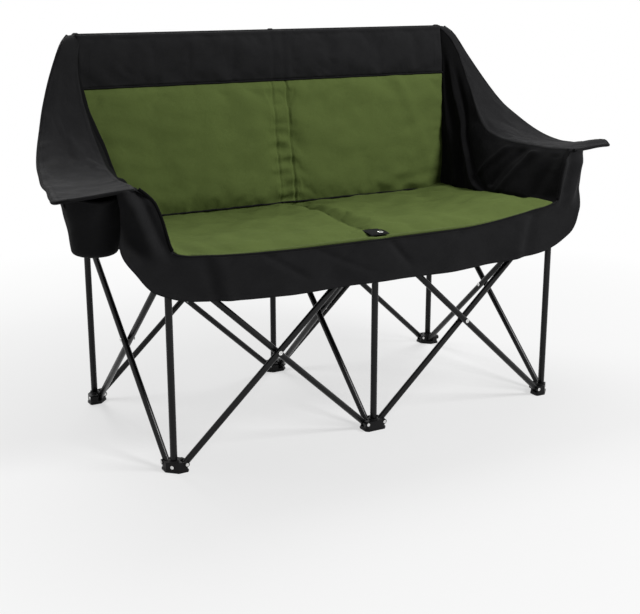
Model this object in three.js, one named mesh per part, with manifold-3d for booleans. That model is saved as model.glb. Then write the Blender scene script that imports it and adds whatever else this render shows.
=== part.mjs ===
// Folding camping loveseat with a scissor frame, in millimetres, +Z up.
// The origin is the centre of the footprint on the floor, +Y to the back.
// Left (-X) and right (+X) are as seen from the front.
import * as THREE from 'three';
import { mergeVertices } from 'three/addons/utils/BufferGeometryUtils.js';
import Module from 'manifold-3d';

const wasm = await Module();
wasm.setup();

// Frame layout
const BAY = 520; // post to post, across the seat and front to back
const LOW_PIVOT = 18; // height of the brace pins in the feet
const HIGH_PIVOT = 456; // height of the brace pins in the hubs
const PIVOT_INSET = 23; // brace pin to post axis
const BACK_TOP = 926; // top edge of the back

// Tubes
const POST_D = 16;
const POST_WALL = 1.3;
const SLIDE_D = 12; // tube that draws out of a front post
const SLIDE_WALL = 1.2;
const SLIDE_LENGTH = 267; // below the hub, so that it stays in the post when folded
const BRACE_D = 15;
const BRACE_WALL = 1.2;
const BRACE_END = 6; // tube past its pin
const PIN_D = 4;
const PIN_PLAY = 0.3;
const TUBE_SIDES = 10;
const PIN_SIDES = 6;

// Feet and hubs, both moulded with a slot for each brace
const FOOT_REACH = 27; // from the post's axis, on the sides with braces
const FOOT_SIDE = 18.5; // and on a corner foot's two outer sides
const FOOT_CORNER = 11; // and to a corner foot's outer corner
const FOOT_FACE = 15; // and on a centre foot's outer side
const FOOT_INNER = 7; // where a corner foot's inner corner is cut off
const FOOT_END_CUT = 4;
const FOOT_FACE_CUT = 6;
const FOOT_HEIGHT = 24;
const FLANGE_PAST = 1.5;
const FLANGE_HEIGHT = 5;
const HUB_WIDTH = 54;
const HUB_ABOVE_PIN = 13;
const HUB_BELOW_PIN = 16;
const CORNER_CUT = 12.5; // chamfer of the hubs, and of the centre feet's inner corners
const SLOT_PLAY = 0.4;
const SOCKET_PLAY = 0.3;
const SLIDE_PLAY = 0.4; // hub on its rear post
const SOCKET_FLOOR = 6.7;
const PIN_BITE = 5; // pin in the wall each side of its slot

// Rivet through each crossing
const RIVET_HEAD_D = 7;
const RIVET_HEAD = 2;

// Arm tubes
const ARM_LEAN = THREE.MathUtils.degToRad(19.5); // outwards from upright
const ARM_RISE = 181; // top of the armrest above the hub pins

// Seat
const TOUCH = 0.5; // between fabric and what it lies on
const SLING_THICK = 1.5;
const SLING_PAST = 10; // past the corner posts, each side
const SEAT_IN_FRONT = 13; // side edges inside the corner posts, at the front
const SEAT_IN_REAR = 38; // and at the rear
const SEAT_SETBACK = 92; // rear edge to the rear posts
const SEAT_THICK = 10;
const SEAT_CROWN = 7;
const SEAT_UPTURN = 22; // rise of the side edges
const UPTURN_POWER = 8; // how late the side edges turn up
const SEAM_DEPTH = 5;
const SEAM_WIDTH = 14;

// Back
const BACK_ABOVE_SEAT = 14.5; // lower edge above the seat's underside
const BACK_BEHIND_SEAT = 4;
const BACK_TO_POST = 4; // clear of the rear posts at the top
const BACK_IN_LOW = 42; // side edges inside the corner posts, at the bottom
const BACK_PAST_TOP = 5; // and past them at the top
const BACK_THICK = 12;
const BACK_CROWN = 9;
const BAND_HEIGHT = 128.5;
const SLEEVE_SEAM = 21; // stitch line each side of the middle
const LINING_THICK = 1.5;
const POCKET_D = 25;
const POCKET_LENGTH = 80;
const POCKET_CAP = 5.5;
const POCKET_WEB = 7;
const POCKET_WEB_SHIFT = 8; // towards the middle, clear of the side walls

// Arms
const ARM_REAR_SETBACK = 20; // rear end in front of the rear posts
const ARM_REAR_DROP = 12; // rear end below the top of the back
const ARM_SWEEP = 300; // length of the sweep up to the back, on the inner edge
const FLAP_SWEEP = 285; // and on the outer edge
const ARM_OUT = 21; // inner edge past the corner posts
const ARM_REAR_OUT = 9;
const ARM_FRONT_FLARE = 44;
const FLAP_OUT = 213; // outer edge past the corner posts
const FLAP_REAR_OUT = 35;
const FLAP_TAPER_POWER = 3;
const FLAP_THICK = 8;
const FLAP_CROWN = 4;
const FLAP_DROOP = 4;
const WALL_THICK = 3;
const WALL_FLARE = 0.38; // share of the wall's lean that is in its top
const WALL_FLARE_POWER = 8;
const FOLD_DEPTH = 5; // slanting fold in each side wall
const FOLD_TOP = 0.95; // where it starts at the top, as a share of the wall
const FOLD_SLANT = 0.5;
const FOLD_WIDTH = 0.07;

// Front skirt: its edges past the corner posts, with heights above the hem and the hubs
const SKIRT_THICK = 3;
const SKIRT_DROP = 96; // hem below the hubs' tops
const SKIRT_OUTER = [[-270, 1], [-80, 10], [10, 30], [58, 73], [80, 132], [94, 187]];
const SKIRT_OUTER_TOP = 102;
const SKIRT_SEAT_LIP = 3;
const SKIRT_INNER = [[-270, 4], [-120, 8], [-50, 16], [-11, 34], [4, 66], [18, 111]];
const SKIRT_INNER_TOP = 42;

// Cup holder under the armrest at -X
const CUP_OUT = 125; // middle past the corner post
const CUP_BACK = 90; // and behind it
const CUP_HANG = 26; // rim below the armrest's top
const CUP_DEPTH = 124;
const CUP_TOP_D = 128;
const CUP_BOTTOM_D = 92;
const CUP_WALL = 3;
const CUP_SIDES = 16;
const CUP_TAB_WIDTH = 24;
const CUP_TAB_LAP = 10;

// Webbing tab at the front of the seat
const TAB_WIDTH = 50;
const TAB_LENGTH = 44;
const TAB_SETBACK = 4;
const TAB_THICK = 2;
const EYELET_D = 15;
const EYELET_BORE = 7;
const EYELET_THICK = 1.6;
const EYELET_RIGHT = 7; // from the tab's middle
const EYELET_FORWARD = 8;

// How finely the fabric is divided
const SEAT_GRID = 10;
const BACK_GRID = 9;
const LINING_GRID = [6, 3];
const BAND_GRID = [12, 3];
const WALL_GRID = [14, 7];
const FLAP_GRID = [14, 5];
const SKIRT_GRID = [36, 4];
const PAD_POWER = 4; // how late a pad's swell falls off to its edges
const NUDGE = 1e-3; // step along a surface, for its slope
const PAST = 1; // how far a cut runs on past the solid

// Worked out from the sizes above
const BRACE_R = BRACE_D / 2;
const SIDE_STEP = BRACE_R + SLOT_PLAY; // each brace of a pair to the middle of the pair
const BRACE_RUN = BAY - 2 * PIVOT_INSET;
const BRACE_RISE = HIGH_PIVOT - LOW_PIVOT;
const BRACE_LENGTH = Math.hypot(BRACE_RUN, BRACE_RISE);
const BRACE_TILT = Math.atan2(BRACE_RISE, BRACE_RUN);
const END_REACH = Math.hypot(BRACE_END, BRACE_R) + SLOT_PLAY;
const HUB_TOP = HIGH_PIVOT + HUB_ABOVE_PIN;
const HUB_BOTTOM = HIGH_PIVOT - HUB_BELOW_PIN;
const POST_FOOT = SOCKET_FLOOR + SOCKET_PLAY;
const FRONT_POST_TOP = HUB_BOTTOM - SOCKET_PLAY;
const REAR_POST_TOP = BACK_TOP - POCKET_CAP - SOCKET_PLAY;
const HUB_FRONT = -BAY / 2 - HUB_WIDTH / 2;
const SLING_TOP = HUB_TOP + TOUCH + SLING_THICK;
const SEAT_UNDER = SLING_TOP + TOUCH;
const SEAT_EDGE = SEAT_UNDER + SEAT_THICK + SEAT_UPTURN; // top of the seat's side edges
const SEAT_FRONT = HUB_FRONT + TOUCH;
const SEAT_REAR = BAY / 2 - SEAT_SETBACK;
const SEAT_FRONT_HALF = BAY - SEAT_IN_FRONT;
const SEAT_REAR_HALF = BAY - SEAT_IN_REAR;
const BACK_DEPTH = BACK_THICK + TOUCH + LINING_THICK;
const BACK_LOW = SEAT_UNDER + BACK_ABOVE_SEAT;
const BACK_FOOT_Y = SEAT_REAR + BACK_BEHIND_SEAT;
const BACK_HEAD_Y = BAY / 2 - POST_D / 2 - BACK_TO_POST - BACK_DEPTH;
const BACK_LOW_HALF = BAY - BACK_IN_LOW;
const BACK_TOP_HALF = BAY + BACK_PAST_TOP;
const BAND_LOW = BACK_TOP - BAND_HEIGHT; // where the green back meets the top band
const ARM_HEIGHT = HIGH_PIVOT + ARM_RISE;
const ARM_REAR_Y = BAY / 2 - ARM_REAR_SETBACK;
const ARM_REAR_Z = BACK_TOP - ARM_REAR_DROP;
const SKIRT_FRONT = HUB_FRONT - TOUCH - SKIRT_THICK;
const SKIRT_ARM_FRONT = -BAY / 2 - BRACE_R - 2 * TOUCH - SKIRT_THICK; // where it covers the arm tubes
const SKIRT_HEM = HUB_TOP - SKIRT_DROP;
const CUP_X = -BAY - CUP_OUT;
const CUP_Y = CUP_BACK - BAY / 2;
const CUP_TOP = ARM_HEIGHT - CUP_HANG;
const CUP_BOTTOM = CUP_TOP - CUP_DEPTH;

const FINISH = {
  steel: new THREE.MeshStandardMaterial({ color: 0x1b1b1c, roughness: 0.42, metalness: 0.6 }),
  plastic: new THREE.MeshStandardMaterial({ color: 0x141414, roughness: 0.55, metalness: 0 }),
  rivet: new THREE.MeshStandardMaterial({ color: 0xb9bcc0, roughness: 0.3, metalness: 1 }),
  black: new THREE.MeshStandardMaterial({ color: 0x222223, roughness: 0.9, metalness: 0 }),
  green: new THREE.MeshStandardMaterial({ color: 0x566b33, roughness: 0.85, metalness: 0 }),
};

const loveseat = new THREE.Group();

function add(name, geometry, finish, place = new THREE.Group()) {
  const mesh = new THREE.Mesh(geometry, FINISH[finish]);
  mesh.name = name;
  place.add(mesh);
  loveseat.add(place);
}

function at(x, y, z = 0) {
  const place = new THREE.Group();
  place.position.set(x, y, z);
  return place;
}

// Joins and cuts

function solidOf(geometry) {
  const bare = geometry.clone();
  bare.deleteAttribute('normal');
  bare.deleteAttribute('uv');
  const merged = mergeVertices(bare, 1e-4);
  const vertProperties = new Float32Array(merged.attributes.position.array);
  const triVerts = new Uint32Array(merged.index.array);
  return new wasm.Manifold(new wasm.Mesh({ numProp: 3, vertProperties, triVerts }));
}

function geometryOf(solid) {
  const mesh = solid.getMesh();
  const geometry = new THREE.BufferGeometry();
  geometry.setAttribute('position', new THREE.BufferAttribute(mesh.vertProperties, mesh.numProp));
  geometry.setIndex(new THREE.BufferAttribute(mesh.triVerts, 1));
  return geometry;
}

function cutAndJoined(body, cuts, joins = []) {
  let solid = solidOf(body);
  for (const cut of cuts) solid = solid.subtract(solidOf(cut));
  for (const join of joins) solid = solid.add(solidOf(join));
  return geometryOf(solid);
}

// Plain shapes

function rod(radius, low, high, sides) {
  const geometry = new THREE.CylinderGeometry(radius, radius, high - low, sides);
  return geometry.rotateX(Math.PI / 2).translate(0, 0, (low + high) / 2);
}

// A bore whose flats clear a round piece of this radius
function bore(radius, play, low, high, sides = TUBE_SIDES) {
  return rod((radius + play) / Math.cos(Math.PI / sides), low, high, sides);
}

function block(xs, ys, zs) {
  const [x, y, z] = [xs, ys, zs].map(([low, high]) => high - low);
  const geometry = new THREE.BoxGeometry(x, y, z);
  return geometry.translate(xs[0] + x / 2, ys[0] + y / 2, zs[0] + z / 2);
}

function raised(outline, low, high) {
  const shape = new THREE.Shape(outline.map(([x, y]) => new THREE.Vector2(x, y)));
  const geometry = new THREE.ExtrudeGeometry(shape, { depth: high - low, bevelEnabled: false });
  return geometry.translate(0, 0, low);
}

function hubOutline() {
  const half = HUB_WIDTH / 2;
  const flat = half - CORNER_CUT;
  return [
    [half, flat], [flat, half], [-flat, half], [-half, flat],
    [-half, -flat], [-flat, -half], [flat, -half], [half, -flat],
  ];
}

// Narrow on the sides that hold no brace; drawn with the outer sides at +X and +Y
function footOutline(row, column, past) {
  const reach = FOOT_REACH + past;
  const outer = FOOT_SIDE + past;
  const face = FOOT_FACE + past;
  const tip = Math.SQRT2 * (FOOT_CORNER + past) - outer;
  const flat = reach - CORNER_CUT;
  const outline = column === 'centre'
    ? [
      [reach, face - FOOT_FACE_CUT], [reach - FOOT_FACE_CUT, face],
      [FOOT_FACE_CUT - reach, face], [-reach, face - FOOT_FACE_CUT],
      [-reach, -flat], [-flat, -reach], [flat, -reach], [reach, -flat],
    ]
    : [
      [outer, tip], [tip, outer],
      [FOOT_END_CUT - reach, outer], [-reach, outer - FOOT_END_CUT],
      [-reach, -FOOT_INNER], [-FOOT_INNER, -reach],
      [outer - FOOT_END_CUT, -reach], [outer, FOOT_END_CUT - reach],
    ];
  const across = COLUMNS[column] || 1;
  return outline.map(([x, y]) => [across * x, ROWS[row] * y]);
}

function tube(diameter, wall, low, high) {
  const hole = rod(diameter / 2 - wall, low - PAST, high + PAST, TUBE_SIDES);
  return cutAndJoined(rod(diameter / 2, low, high, TUBE_SIDES), [hole]);
}

// A closed panel: a surface over u and v, raised by crown on its front and thick behind
function panel(surface, us, vs, thick, crown = () => 0) {
  const front = [];
  const back = [];
  for (const u of us) {
    for (const v of vs) {
      const alongU = surface(u + NUDGE, v).sub(surface(u - NUDGE, v));
      const alongV = surface(u, v + NUDGE).sub(surface(u, v - NUDGE));
      const out = alongU.cross(alongV).normalize();
      const middle = surface(u, v);
      front.push(middle.clone().addScaledVector(out, crown(u, v)));
      back.push(middle.clone().addScaledVector(out, -thick));
    }
  }
  const count = front.length;
  const columns = vs.length;
  const f = (i, j) => i * columns + j;
  const b = (i, j) => count + f(i, j);
  const faces = [];
  const quad = (p, q, r, s) => faces.push(p, q, r, p, r, s);
  const lastU = us.length - 1;
  const lastV = columns - 1;
  for (let i = 0; i < lastU; i += 1) {
    for (let j = 0; j < lastV; j += 1) {
      quad(f(i, j), f(i + 1, j), f(i + 1, j + 1), f(i, j + 1));
      quad(b(i, j), b(i, j + 1), b(i + 1, j + 1), b(i + 1, j));
    }
    quad(f(i + 1, 0), f(i, 0), b(i, 0), b(i + 1, 0));
    quad(f(i, lastV), f(i + 1, lastV), b(i + 1, lastV), b(i, lastV));
  }
  for (let j = 0; j < lastV; j += 1) {
    quad(f(lastU, j + 1), f(lastU, j), b(lastU, j), b(lastU, j + 1));
    quad(f(0, j), f(0, j + 1), b(0, j + 1), b(0, j));
  }
  const geometry = new THREE.BufferGeometry().setFromPoints([...front, ...back]);
  geometry.setIndex(faces);
  return geometry;
}

function mirrored(geometry) {
  const copy = geometry.clone().applyMatrix4(new THREE.Matrix4().makeScale(-1, 1, 1));
  const faces = copy.index.array;
  for (let i = 0; i < faces.length; i += 3) [faces[i], faces[i + 1]] = [faces[i + 1], faces[i]];
  return copy;
}

function steps(count) {
  return Array.from({ length: count + 1 }, (_, i) => i / count);
}

const mix = THREE.MathUtils.lerp;
const point = (x, y, z) => new THREE.Vector3(x, y, z);

// Posts stand on a grid of three columns and two rows
const COLUMNS = { left: -1, centre: 0, right: 1 };
const ROWS = { front: -1, rear: 1 };
const postAt = (row, column) => [COLUMNS[column] * BAY, ROWS[row] * BAY / 2];

// Each brace stands on one post's foot and reaches the next post's hub
const BRACES = [];
for (const row of ['front', 'rear']) {
  for (const side of ['left', 'right']) {
    const bay = `${row}_${side}`;
    const step = ROWS[row] * SIDE_STEP;
    const corner = [row, side];
    const centre = [row, 'centre'];
    BRACES.push({ name: `${bay}_outer_brace`, bay, foot: corner, hub: centre, step });
    BRACES.push({ name: `${bay}_inner_brace`, bay, foot: centre, hub: corner, step: -step });
  }
}
for (const [bay, column, step] of [
  ['left_end', 'left', -SIDE_STEP], ['middle', 'centre', -SIDE_STEP], ['right_end', 'right', SIDE_STEP],
]) {
  const front = ['front', column];
  const rear = ['rear', column];
  BRACES.push({ name: `${bay}_front_brace`, bay, foot: front, hub: rear, step });
  BRACES.push({ name: `${bay}_rear_brace`, bay, foot: rear, hub: front, step: -step });
}
for (const brace of BRACES) {
  const [footX, footY] = postAt(...brace.foot);
  const [hubX, hubY] = postAt(...brace.hub);
  brace.heading = Math.atan2(hubY - footY, hubX - footX);
  brace.crosswise = footY === hubY;
}

const pinHole = () => bore(PIN_D / 2, PIN_PLAY, -BRACE_D, BRACE_D, PIN_SIDES).rotateX(Math.PI / 2);

function braceTube() {
  const whole = tube(BRACE_D, BRACE_WALL, -BRACE_END, BRACE_LENGTH + BRACE_END).rotateY(Math.PI / 2);
  const holes = [0, BRACE_LENGTH / 2, BRACE_LENGTH].map((x) => pinHole().translate(x, 0, 0));
  return cutAndJoined(whole, holes);
}

function addBraces() {
  for (const { name, foot, heading, crosswise, step } of BRACES) {
    const [x, y] = postAt(...foot);
    const place = at(
      x + PIVOT_INSET * Math.cos(heading) + (crosswise ? 0 : step),
      y + PIVOT_INSET * Math.sin(heading) + (crosswise ? step : 0),
      LOW_PIVOT,
    );
    place.rotation.set(0, -BRACE_TILT, heading, 'ZYX');
    add(name, braceTube(), 'steel', place);
  }
}

function addCrossRivets() {
  const grip = SIDE_STEP + BRACE_R + PIN_PLAY;
  const end = grip + RIVET_HEAD;
  const head = RIVET_HEAD_D / 2;
  const shank = PIN_D / 2;
  const profile = [
    [0, -end], [head, -end], [head, -grip], [shank, -grip],
    [shank, grip], [head, grip], [head, end], [0, end],
  ];
  const outline = profile.map(([x, y]) => new THREE.Vector2(x, y));
  const rivet = geometryOf(solidOf(new THREE.LatheGeometry(outline, PIN_SIDES)));
  for (const { bay, foot, hub, crosswise } of BRACES.filter((_, i) => i % 2 === 0)) {
    const [footX, footY] = postAt(...foot);
    const [hubX, hubY] = postAt(...hub);
    const place = at((footX + hubX) / 2, (footY + hubY) / 2, (LOW_PIVOT + HIGH_PIVOT) / 2);
    place.rotation.z = crosswise ? 0 : Math.PI / 2;
    add(`${bay}_cross_rivet`, rivet, 'rivet', place);
  }
}

// The slot that a brace end turns in, and the pin across it, about the post axis
function slotAndPin(heading, offset, pinHeight, low, high) {
  const half = BRACE_R + SLOT_PLAY;
  const along = [PIVOT_INSET - END_REACH, 2 * FOOT_REACH];
  const slot = block(along, [offset - half, offset + half], [low, high]).rotateZ(heading);
  const pin = rod(PIN_D / 2, -half - PIN_BITE, half + PIN_BITE, PIN_SIDES).rotateX(Math.PI / 2);
  return { slot, pin: pin.translate(PIVOT_INSET, offset, pinHeight).rotateZ(heading) };
}

// A brace's offset seen along its heading from the post
function offsetAlong(heading, { crosswise, step }) {
  return crosswise ? step * Math.cos(heading) : -step * Math.sin(heading);
}

function foot(row, column) {
  const braces = BRACES.filter((b) => b.foot[0] === row && b.foot[1] === column);
  const parts = braces.map((b) =>
    slotAndPin(b.heading, offsetAlong(b.heading, b), LOW_PIVOT, LOW_PIVOT - END_REACH, 2 * FOOT_HEIGHT));
  const socket = bore(POST_D / 2, SOCKET_PLAY, SOCKET_FLOOR, 2 * FOOT_HEIGHT);
  const cuts = [socket, ...parts.map((p) => p.slot)];
  const body = raised(footOutline(row, column, 0), 0, FOOT_HEIGHT);
  const flange = raised(footOutline(row, column, FLANGE_PAST), 0, FLANGE_HEIGHT);
  return cutAndJoined(body, cuts, [flange, ...parts.map((p) => p.pin)]);
}

function hub(row, column) {
  const braces = BRACES.filter((b) => b.hub[0] === row && b.hub[1] === column);
  const parts = braces.map((b) => {
    const back = b.heading + Math.PI;
    return slotAndPin(back, offsetAlong(back, b), HIGH_PIVOT, 0, HIGH_PIVOT + END_REACH);
  });
  if (row === 'front' && column !== 'centre') {
    const outward = column === 'left' ? Math.PI : 0;
    parts.push(slotAndPin(outward, 0, HIGH_PIVOT, HIGH_PIVOT - END_REACH, 2 * HUB_TOP));
  }
  const post = row === 'rear'
    ? bore(POST_D / 2, SLIDE_PLAY, 0, 2 * HUB_TOP)
    : bore(SLIDE_D / 2, SOCKET_PLAY, 0, HIGH_PIVOT + SOCKET_PLAY);
  const cuts = [post, ...parts.map((p) => p.slot)];
  return cutAndJoined(raised(hubOutline(), HUB_BOTTOM, HUB_TOP), cuts, parts.map((p) => p.pin));
}

function addPosts() {
  for (const row of Object.keys(ROWS)) {
    for (const column of Object.keys(COLUMNS)) {
      const [x, y] = postAt(row, column);
      const name = `${row}_${column}`;
      const top = row === 'rear' ? REAR_POST_TOP : FRONT_POST_TOP;
      add(`${name}_post`, tube(POST_D, POST_WALL, POST_FOOT, top), 'steel', at(x, y));
      add(`${name}_foot`, foot(row, column), 'plastic', at(x, y));
      add(`${name}_hub`, hub(row, column), 'plastic', at(x, y));
      if (row === 'front') {
        const slide = tube(SLIDE_D, SLIDE_WALL, HUB_BOTTOM - SLIDE_LENGTH, HIGH_PIVOT);
        add(`${name}_slide_tube`, slide, 'steel', at(x, y));
      }
    }
  }
}

function addArmTubes() {
  const underFlap = ARM_HEIGHT - FLAP_THICK - TOUCH - BRACE_R * Math.sin(ARM_LEAN);
  const length = (underFlap - HIGH_PIVOT) / Math.cos(ARM_LEAN);
  const arm = cutAndJoined(tube(BRACE_D, BRACE_WALL, -BRACE_END, length), [pinHole()]);
  for (const side of ['left', 'right']) {
    const outward = COLUMNS[side];
    const [x, y] = postAt('front', side);
    const place = at(x + outward * PIVOT_INSET, y, HIGH_PIVOT);
    place.rotation.y = outward * ARM_LEAN;
    add(`${side}_arm_tube`, arm, 'steel', place);
  }
}

// Seat: a sling across the hubs and a padded panel on it

const seatHalf = (v) => mix(SEAT_FRONT_HALF, SEAT_REAR_HALF, v);
const seatTurnUp = (s) => SEAT_UPTURN * Math.abs(s) ** UPTURN_POWER;

function seatTop(u, v) {
  const s = 2 * u - 1;
  return point(s * seatHalf(v), mix(SEAT_FRONT, SEAT_REAR, v), SEAT_UNDER + SEAT_THICK + seatTurnUp(s));
}

const swell = (t) => 1 - (2 * t - 1) ** PAD_POWER;
const groove = (distance) => SEAM_DEPTH * Math.exp(-((distance / SEAM_WIDTH) ** 2));
const seatCrown = (u, v) => SEAT_CROWN * swell(u) * swell(v) - groove((2 * u - 1) * seatHalf(v));

// Columns gather where the seams are
const ACROSS = [0, 0.02, 0.05, 0.1, 0.18, 0.28, 0.38, 0.45, 0.475, 0.488, 0.5,
  0.512, 0.525, 0.55, 0.62, 0.72, 0.82, 0.9, 0.95, 0.98, 1];

function addSeat() {
  const half = BAY + SLING_PAST;
  const rear = BAY / 2 - POST_D;
  add('seat_sling', block([-half, half], [SEAT_FRONT, rear], [HUB_TOP + TOUCH, SLING_TOP]), 'black');
  add('seat_pad', panel(seatTop, ACROSS, steps(SEAT_GRID), SEAT_THICK, seatCrown), 'green');
}

// The tab lies along the slope of the seat's crown behind its front edge
function addTab() {
  const crest = (y) => SEAT_CROWN * swell((y - SEAT_FRONT) / (SEAT_REAR - SEAT_FRONT));
  const middle = SEAT_FRONT + TAB_SETBACK + TAB_LENGTH / 2;
  const place = at(0, middle, SEAT_UNDER + SEAT_THICK + crest(middle) + TOUCH);
  place.rotation.x = Math.atan(crest(middle + 0.5) - crest(middle - 0.5));
  const across = [-TAB_WIDTH / 2, TAB_WIDTH / 2];
  const along = [-TAB_LENGTH / 2, TAB_LENGTH / 2];
  add('centre_tab', block(across, along, [0, TAB_THICK]), 'black', place);
  const low = TAB_THICK + TOUCH / 2;
  const high = low + EYELET_THICK;
  const hole = rod(EYELET_BORE / 2, 0, high + PAST, TUBE_SIDES);
  const ring = place.clone(false);
  ring.translateX(EYELET_RIGHT);
  ring.translateY(-EYELET_FORWARD);
  add('tab_eyelet', cutAndJoined(rod(EYELET_D / 2, low, high, TUBE_SIDES), [hole]), 'rivet', ring);
}

// Back: a padded panel and the top band on a slanting plane, with a lining behind the pad

function backSurface(low, high) {
  return (u, v) => {
    const z = mix(low, high, v);
    const rise = (z - BACK_LOW) / (BACK_TOP - BACK_LOW);
    const half = mix(BACK_LOW_HALF, BACK_TOP_HALF, rise);
    return point((2 * u - 1) * half, mix(BACK_FOOT_Y, BACK_HEAD_Y, rise), z);
  };
}

function backCrown(u, v) {
  const x = (2 * u - 1) * BACK_LOW_HALF;
  return BACK_CROWN * swell(u) * swell(v) - groove(x - SLEEVE_SEAM) - groove(x + SLEEVE_SEAM);
}

function addBack() {
  const padTop = BAND_LOW - TOUCH;
  const pad = backSurface(BACK_LOW, padTop);
  add('back_pad', panel(pad, ACROSS, steps(BACK_GRID), BACK_THICK, backCrown), 'green');
  const behindPad = () => -BACK_THICK - TOUCH;
  add('back_lining', panel(pad, ...LINING_GRID.map(steps), BACK_DEPTH, behindPad), 'black');
}

function addTopBand() {
  const surface = backSurface(BAND_LOW, BACK_TOP);
  const pockets = [];
  const bores = [];
  for (const column of Object.keys(COLUMNS)) {
    const [x, y] = postAt('rear', column);
    const low = BACK_TOP - POCKET_LENGTH;
    const inBand = (z) => surface(0.5, (z - BAND_LOW) / (BACK_TOP - BAND_LOW)).y + BACK_DEPTH / 2;
    const web = new THREE.Shape([
      new THREE.Vector2(inBand(low), low), new THREE.Vector2(y, low),
      new THREE.Vector2(y, BACK_TOP), new THREE.Vector2(inBand(BACK_TOP), BACK_TOP),
    ]);
    const webX = x - COLUMNS[column] * POCKET_WEB_SHIFT - POCKET_WEB / 2;
    const webbing = new THREE.ExtrudeGeometry(web, { depth: POCKET_WEB, bevelEnabled: false });
    webbing.rotateY(Math.PI / 2).rotateX(Math.PI / 2).translate(webX, 0, 0);
    pockets.push(webbing, rod(POCKET_D / 2, low, BACK_TOP, TUBE_SIDES).translate(x, y, 0));
    bores.push(bore(POST_D / 2, SOCKET_PLAY, low - POST_D, BACK_TOP - POCKET_CAP).translate(x, y, 0));
  }
  const band = cutAndJoined(panel(surface, ...BAND_GRID.map(steps), BACK_DEPTH), [], pockets);
  add('top_band', cutAndJoined(band, bores), 'black');
}

// Arms: the edge where wall and armrest meet, and the armrest's outer edge, from front to rear

const sweep = (y, length) => Math.max(0, 1 - (ARM_REAR_Y - y) / length) ** 2;
const armY = (u) => mix(SKIRT_ARM_FRONT, ARM_REAR_Y, u);

function armInner(u) {
  const y = armY(u);
  const flare = ARM_FRONT_FLARE * Math.max(0, y / SKIRT_ARM_FRONT);
  const rise = sweep(y, ARM_SWEEP);
  return point(-BAY - mix(ARM_OUT, ARM_REAR_OUT, rise) - flare, y, mix(ARM_HEIGHT, ARM_REAR_Z, rise));
}

function armOuter(u) {
  const y = armY(u);
  const reach = BAY + mix(FLAP_OUT, FLAP_REAR_OUT, u ** FLAP_TAPER_POWER);
  return point(-reach, y, mix(ARM_HEIGHT - FLAP_DROOP, ARM_REAR_Z, sweep(y, FLAP_SWEEP)));
}

const flapSurface = (u, v) => armInner(u).lerp(armOuter(u), v);
const flapCrown = (u, v) => FLAP_CROWN * swell(u) * swell(v);

// The wall's top edge lies under the armrest, square to the edge
function wallTop(u) {
  const along = armInner(u + NUDGE).sub(armInner(u - NUDGE));
  const down = point(0, along.z, -along.y).normalize();
  return armInner(u).addScaledVector(down, FLAP_THICK + TOUCH);
}

const skirtBend = (z) => THREE.MathUtils.clamp((z - SEAT_EDGE) / (ARM_HEIGHT - SEAT_EDGE), 0, 1);
const skirtY = (z) => mix(SKIRT_FRONT, SKIRT_ARM_FRONT, skirtBend(z));

function wallFold(u, v) {
  const across = (u - FOLD_TOP + FOLD_SLANT * (1 - v)) / FOLD_WIDTH;
  return FOLD_DEPTH * Math.exp(-(across ** 2)) * Math.sin(Math.PI * v);
}

function wallBottom(u) {
  const y = mix(skirtY(SEAT_EDGE) + SKIRT_THICK + TOUCH, BACK_FOOT_Y, u);
  return point(-seatHalf(u) - 2 * TOUCH, y, SEAT_EDGE);
}

function wallSurface(u, v) {
  const low = wallBottom(u);
  const high = wallTop(u);
  const lean = mix(v, v ** WALL_FLARE_POWER, WALL_FLARE * (1 - u));
  const start = mix(skirtY(low.z), skirtY(high.z), v) + SKIRT_THICK + TOUCH;
  const end = mix(BACK_FOOT_Y, wallTop(1).y, v);
  const swept = mix(low.y, high.y, v);
  const y = u < 0.5 ? Math.max(swept, start) : Math.min(swept, end);
  return point(mix(low.x, high.x, lean), y, mix(low.z, high.z, v));
}

function addArms() {
  const wall = panel(wallSurface, ...WALL_GRID.map(steps), WALL_THICK, wallFold);
  add('left_side_wall', wall, 'black');
  add('right_side_wall', mirrored(wall), 'black');
  const flap = panel(flapSurface, ...FLAP_GRID.map(steps), FLAP_THICK, flapCrown);
  add('left_arm_flap', flap, 'black');
  add('right_arm_flap', mirrored(flap), 'black');
}

// Front skirt: a U from arm to arm

function skirtEdge(middle, along, above, topOut) {
  const top = ARM_HEIGHT - FLAP_DROOP - FLAP_THICK - TOUCH;
  const bends = along.map(([out, rise]) => [BAY + out, above + rise]);
  const edge = [[0, middle], ...bends, [BAY + topOut, top]];
  return new THREE.SplineCurve(edge.map(([x, z]) => new THREE.Vector2(x, z)));
}

function addSkirt() {
  const outer = skirtEdge(SKIRT_HEM, SKIRT_OUTER, SKIRT_HEM, SKIRT_OUTER_TOP);
  const inner = skirtEdge(HUB_TOP + SKIRT_SEAT_LIP, SKIRT_INNER, HUB_TOP, SKIRT_INNER_TOP);
  const surface = (u, v) => {
    const s = Math.min(1, Math.abs(2 * u - 1));
    const side = Math.sign(2 * u - 1);
    const edge = outer.getPoint(s).lerp(inner.getPoint(s), v);
    return point(side * edge.x, skirtY(edge.y), edge.y);
  };
  add('front_skirt', panel(surface, ...SKIRT_GRID.map(steps), SKIRT_THICK), 'black');
}

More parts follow.
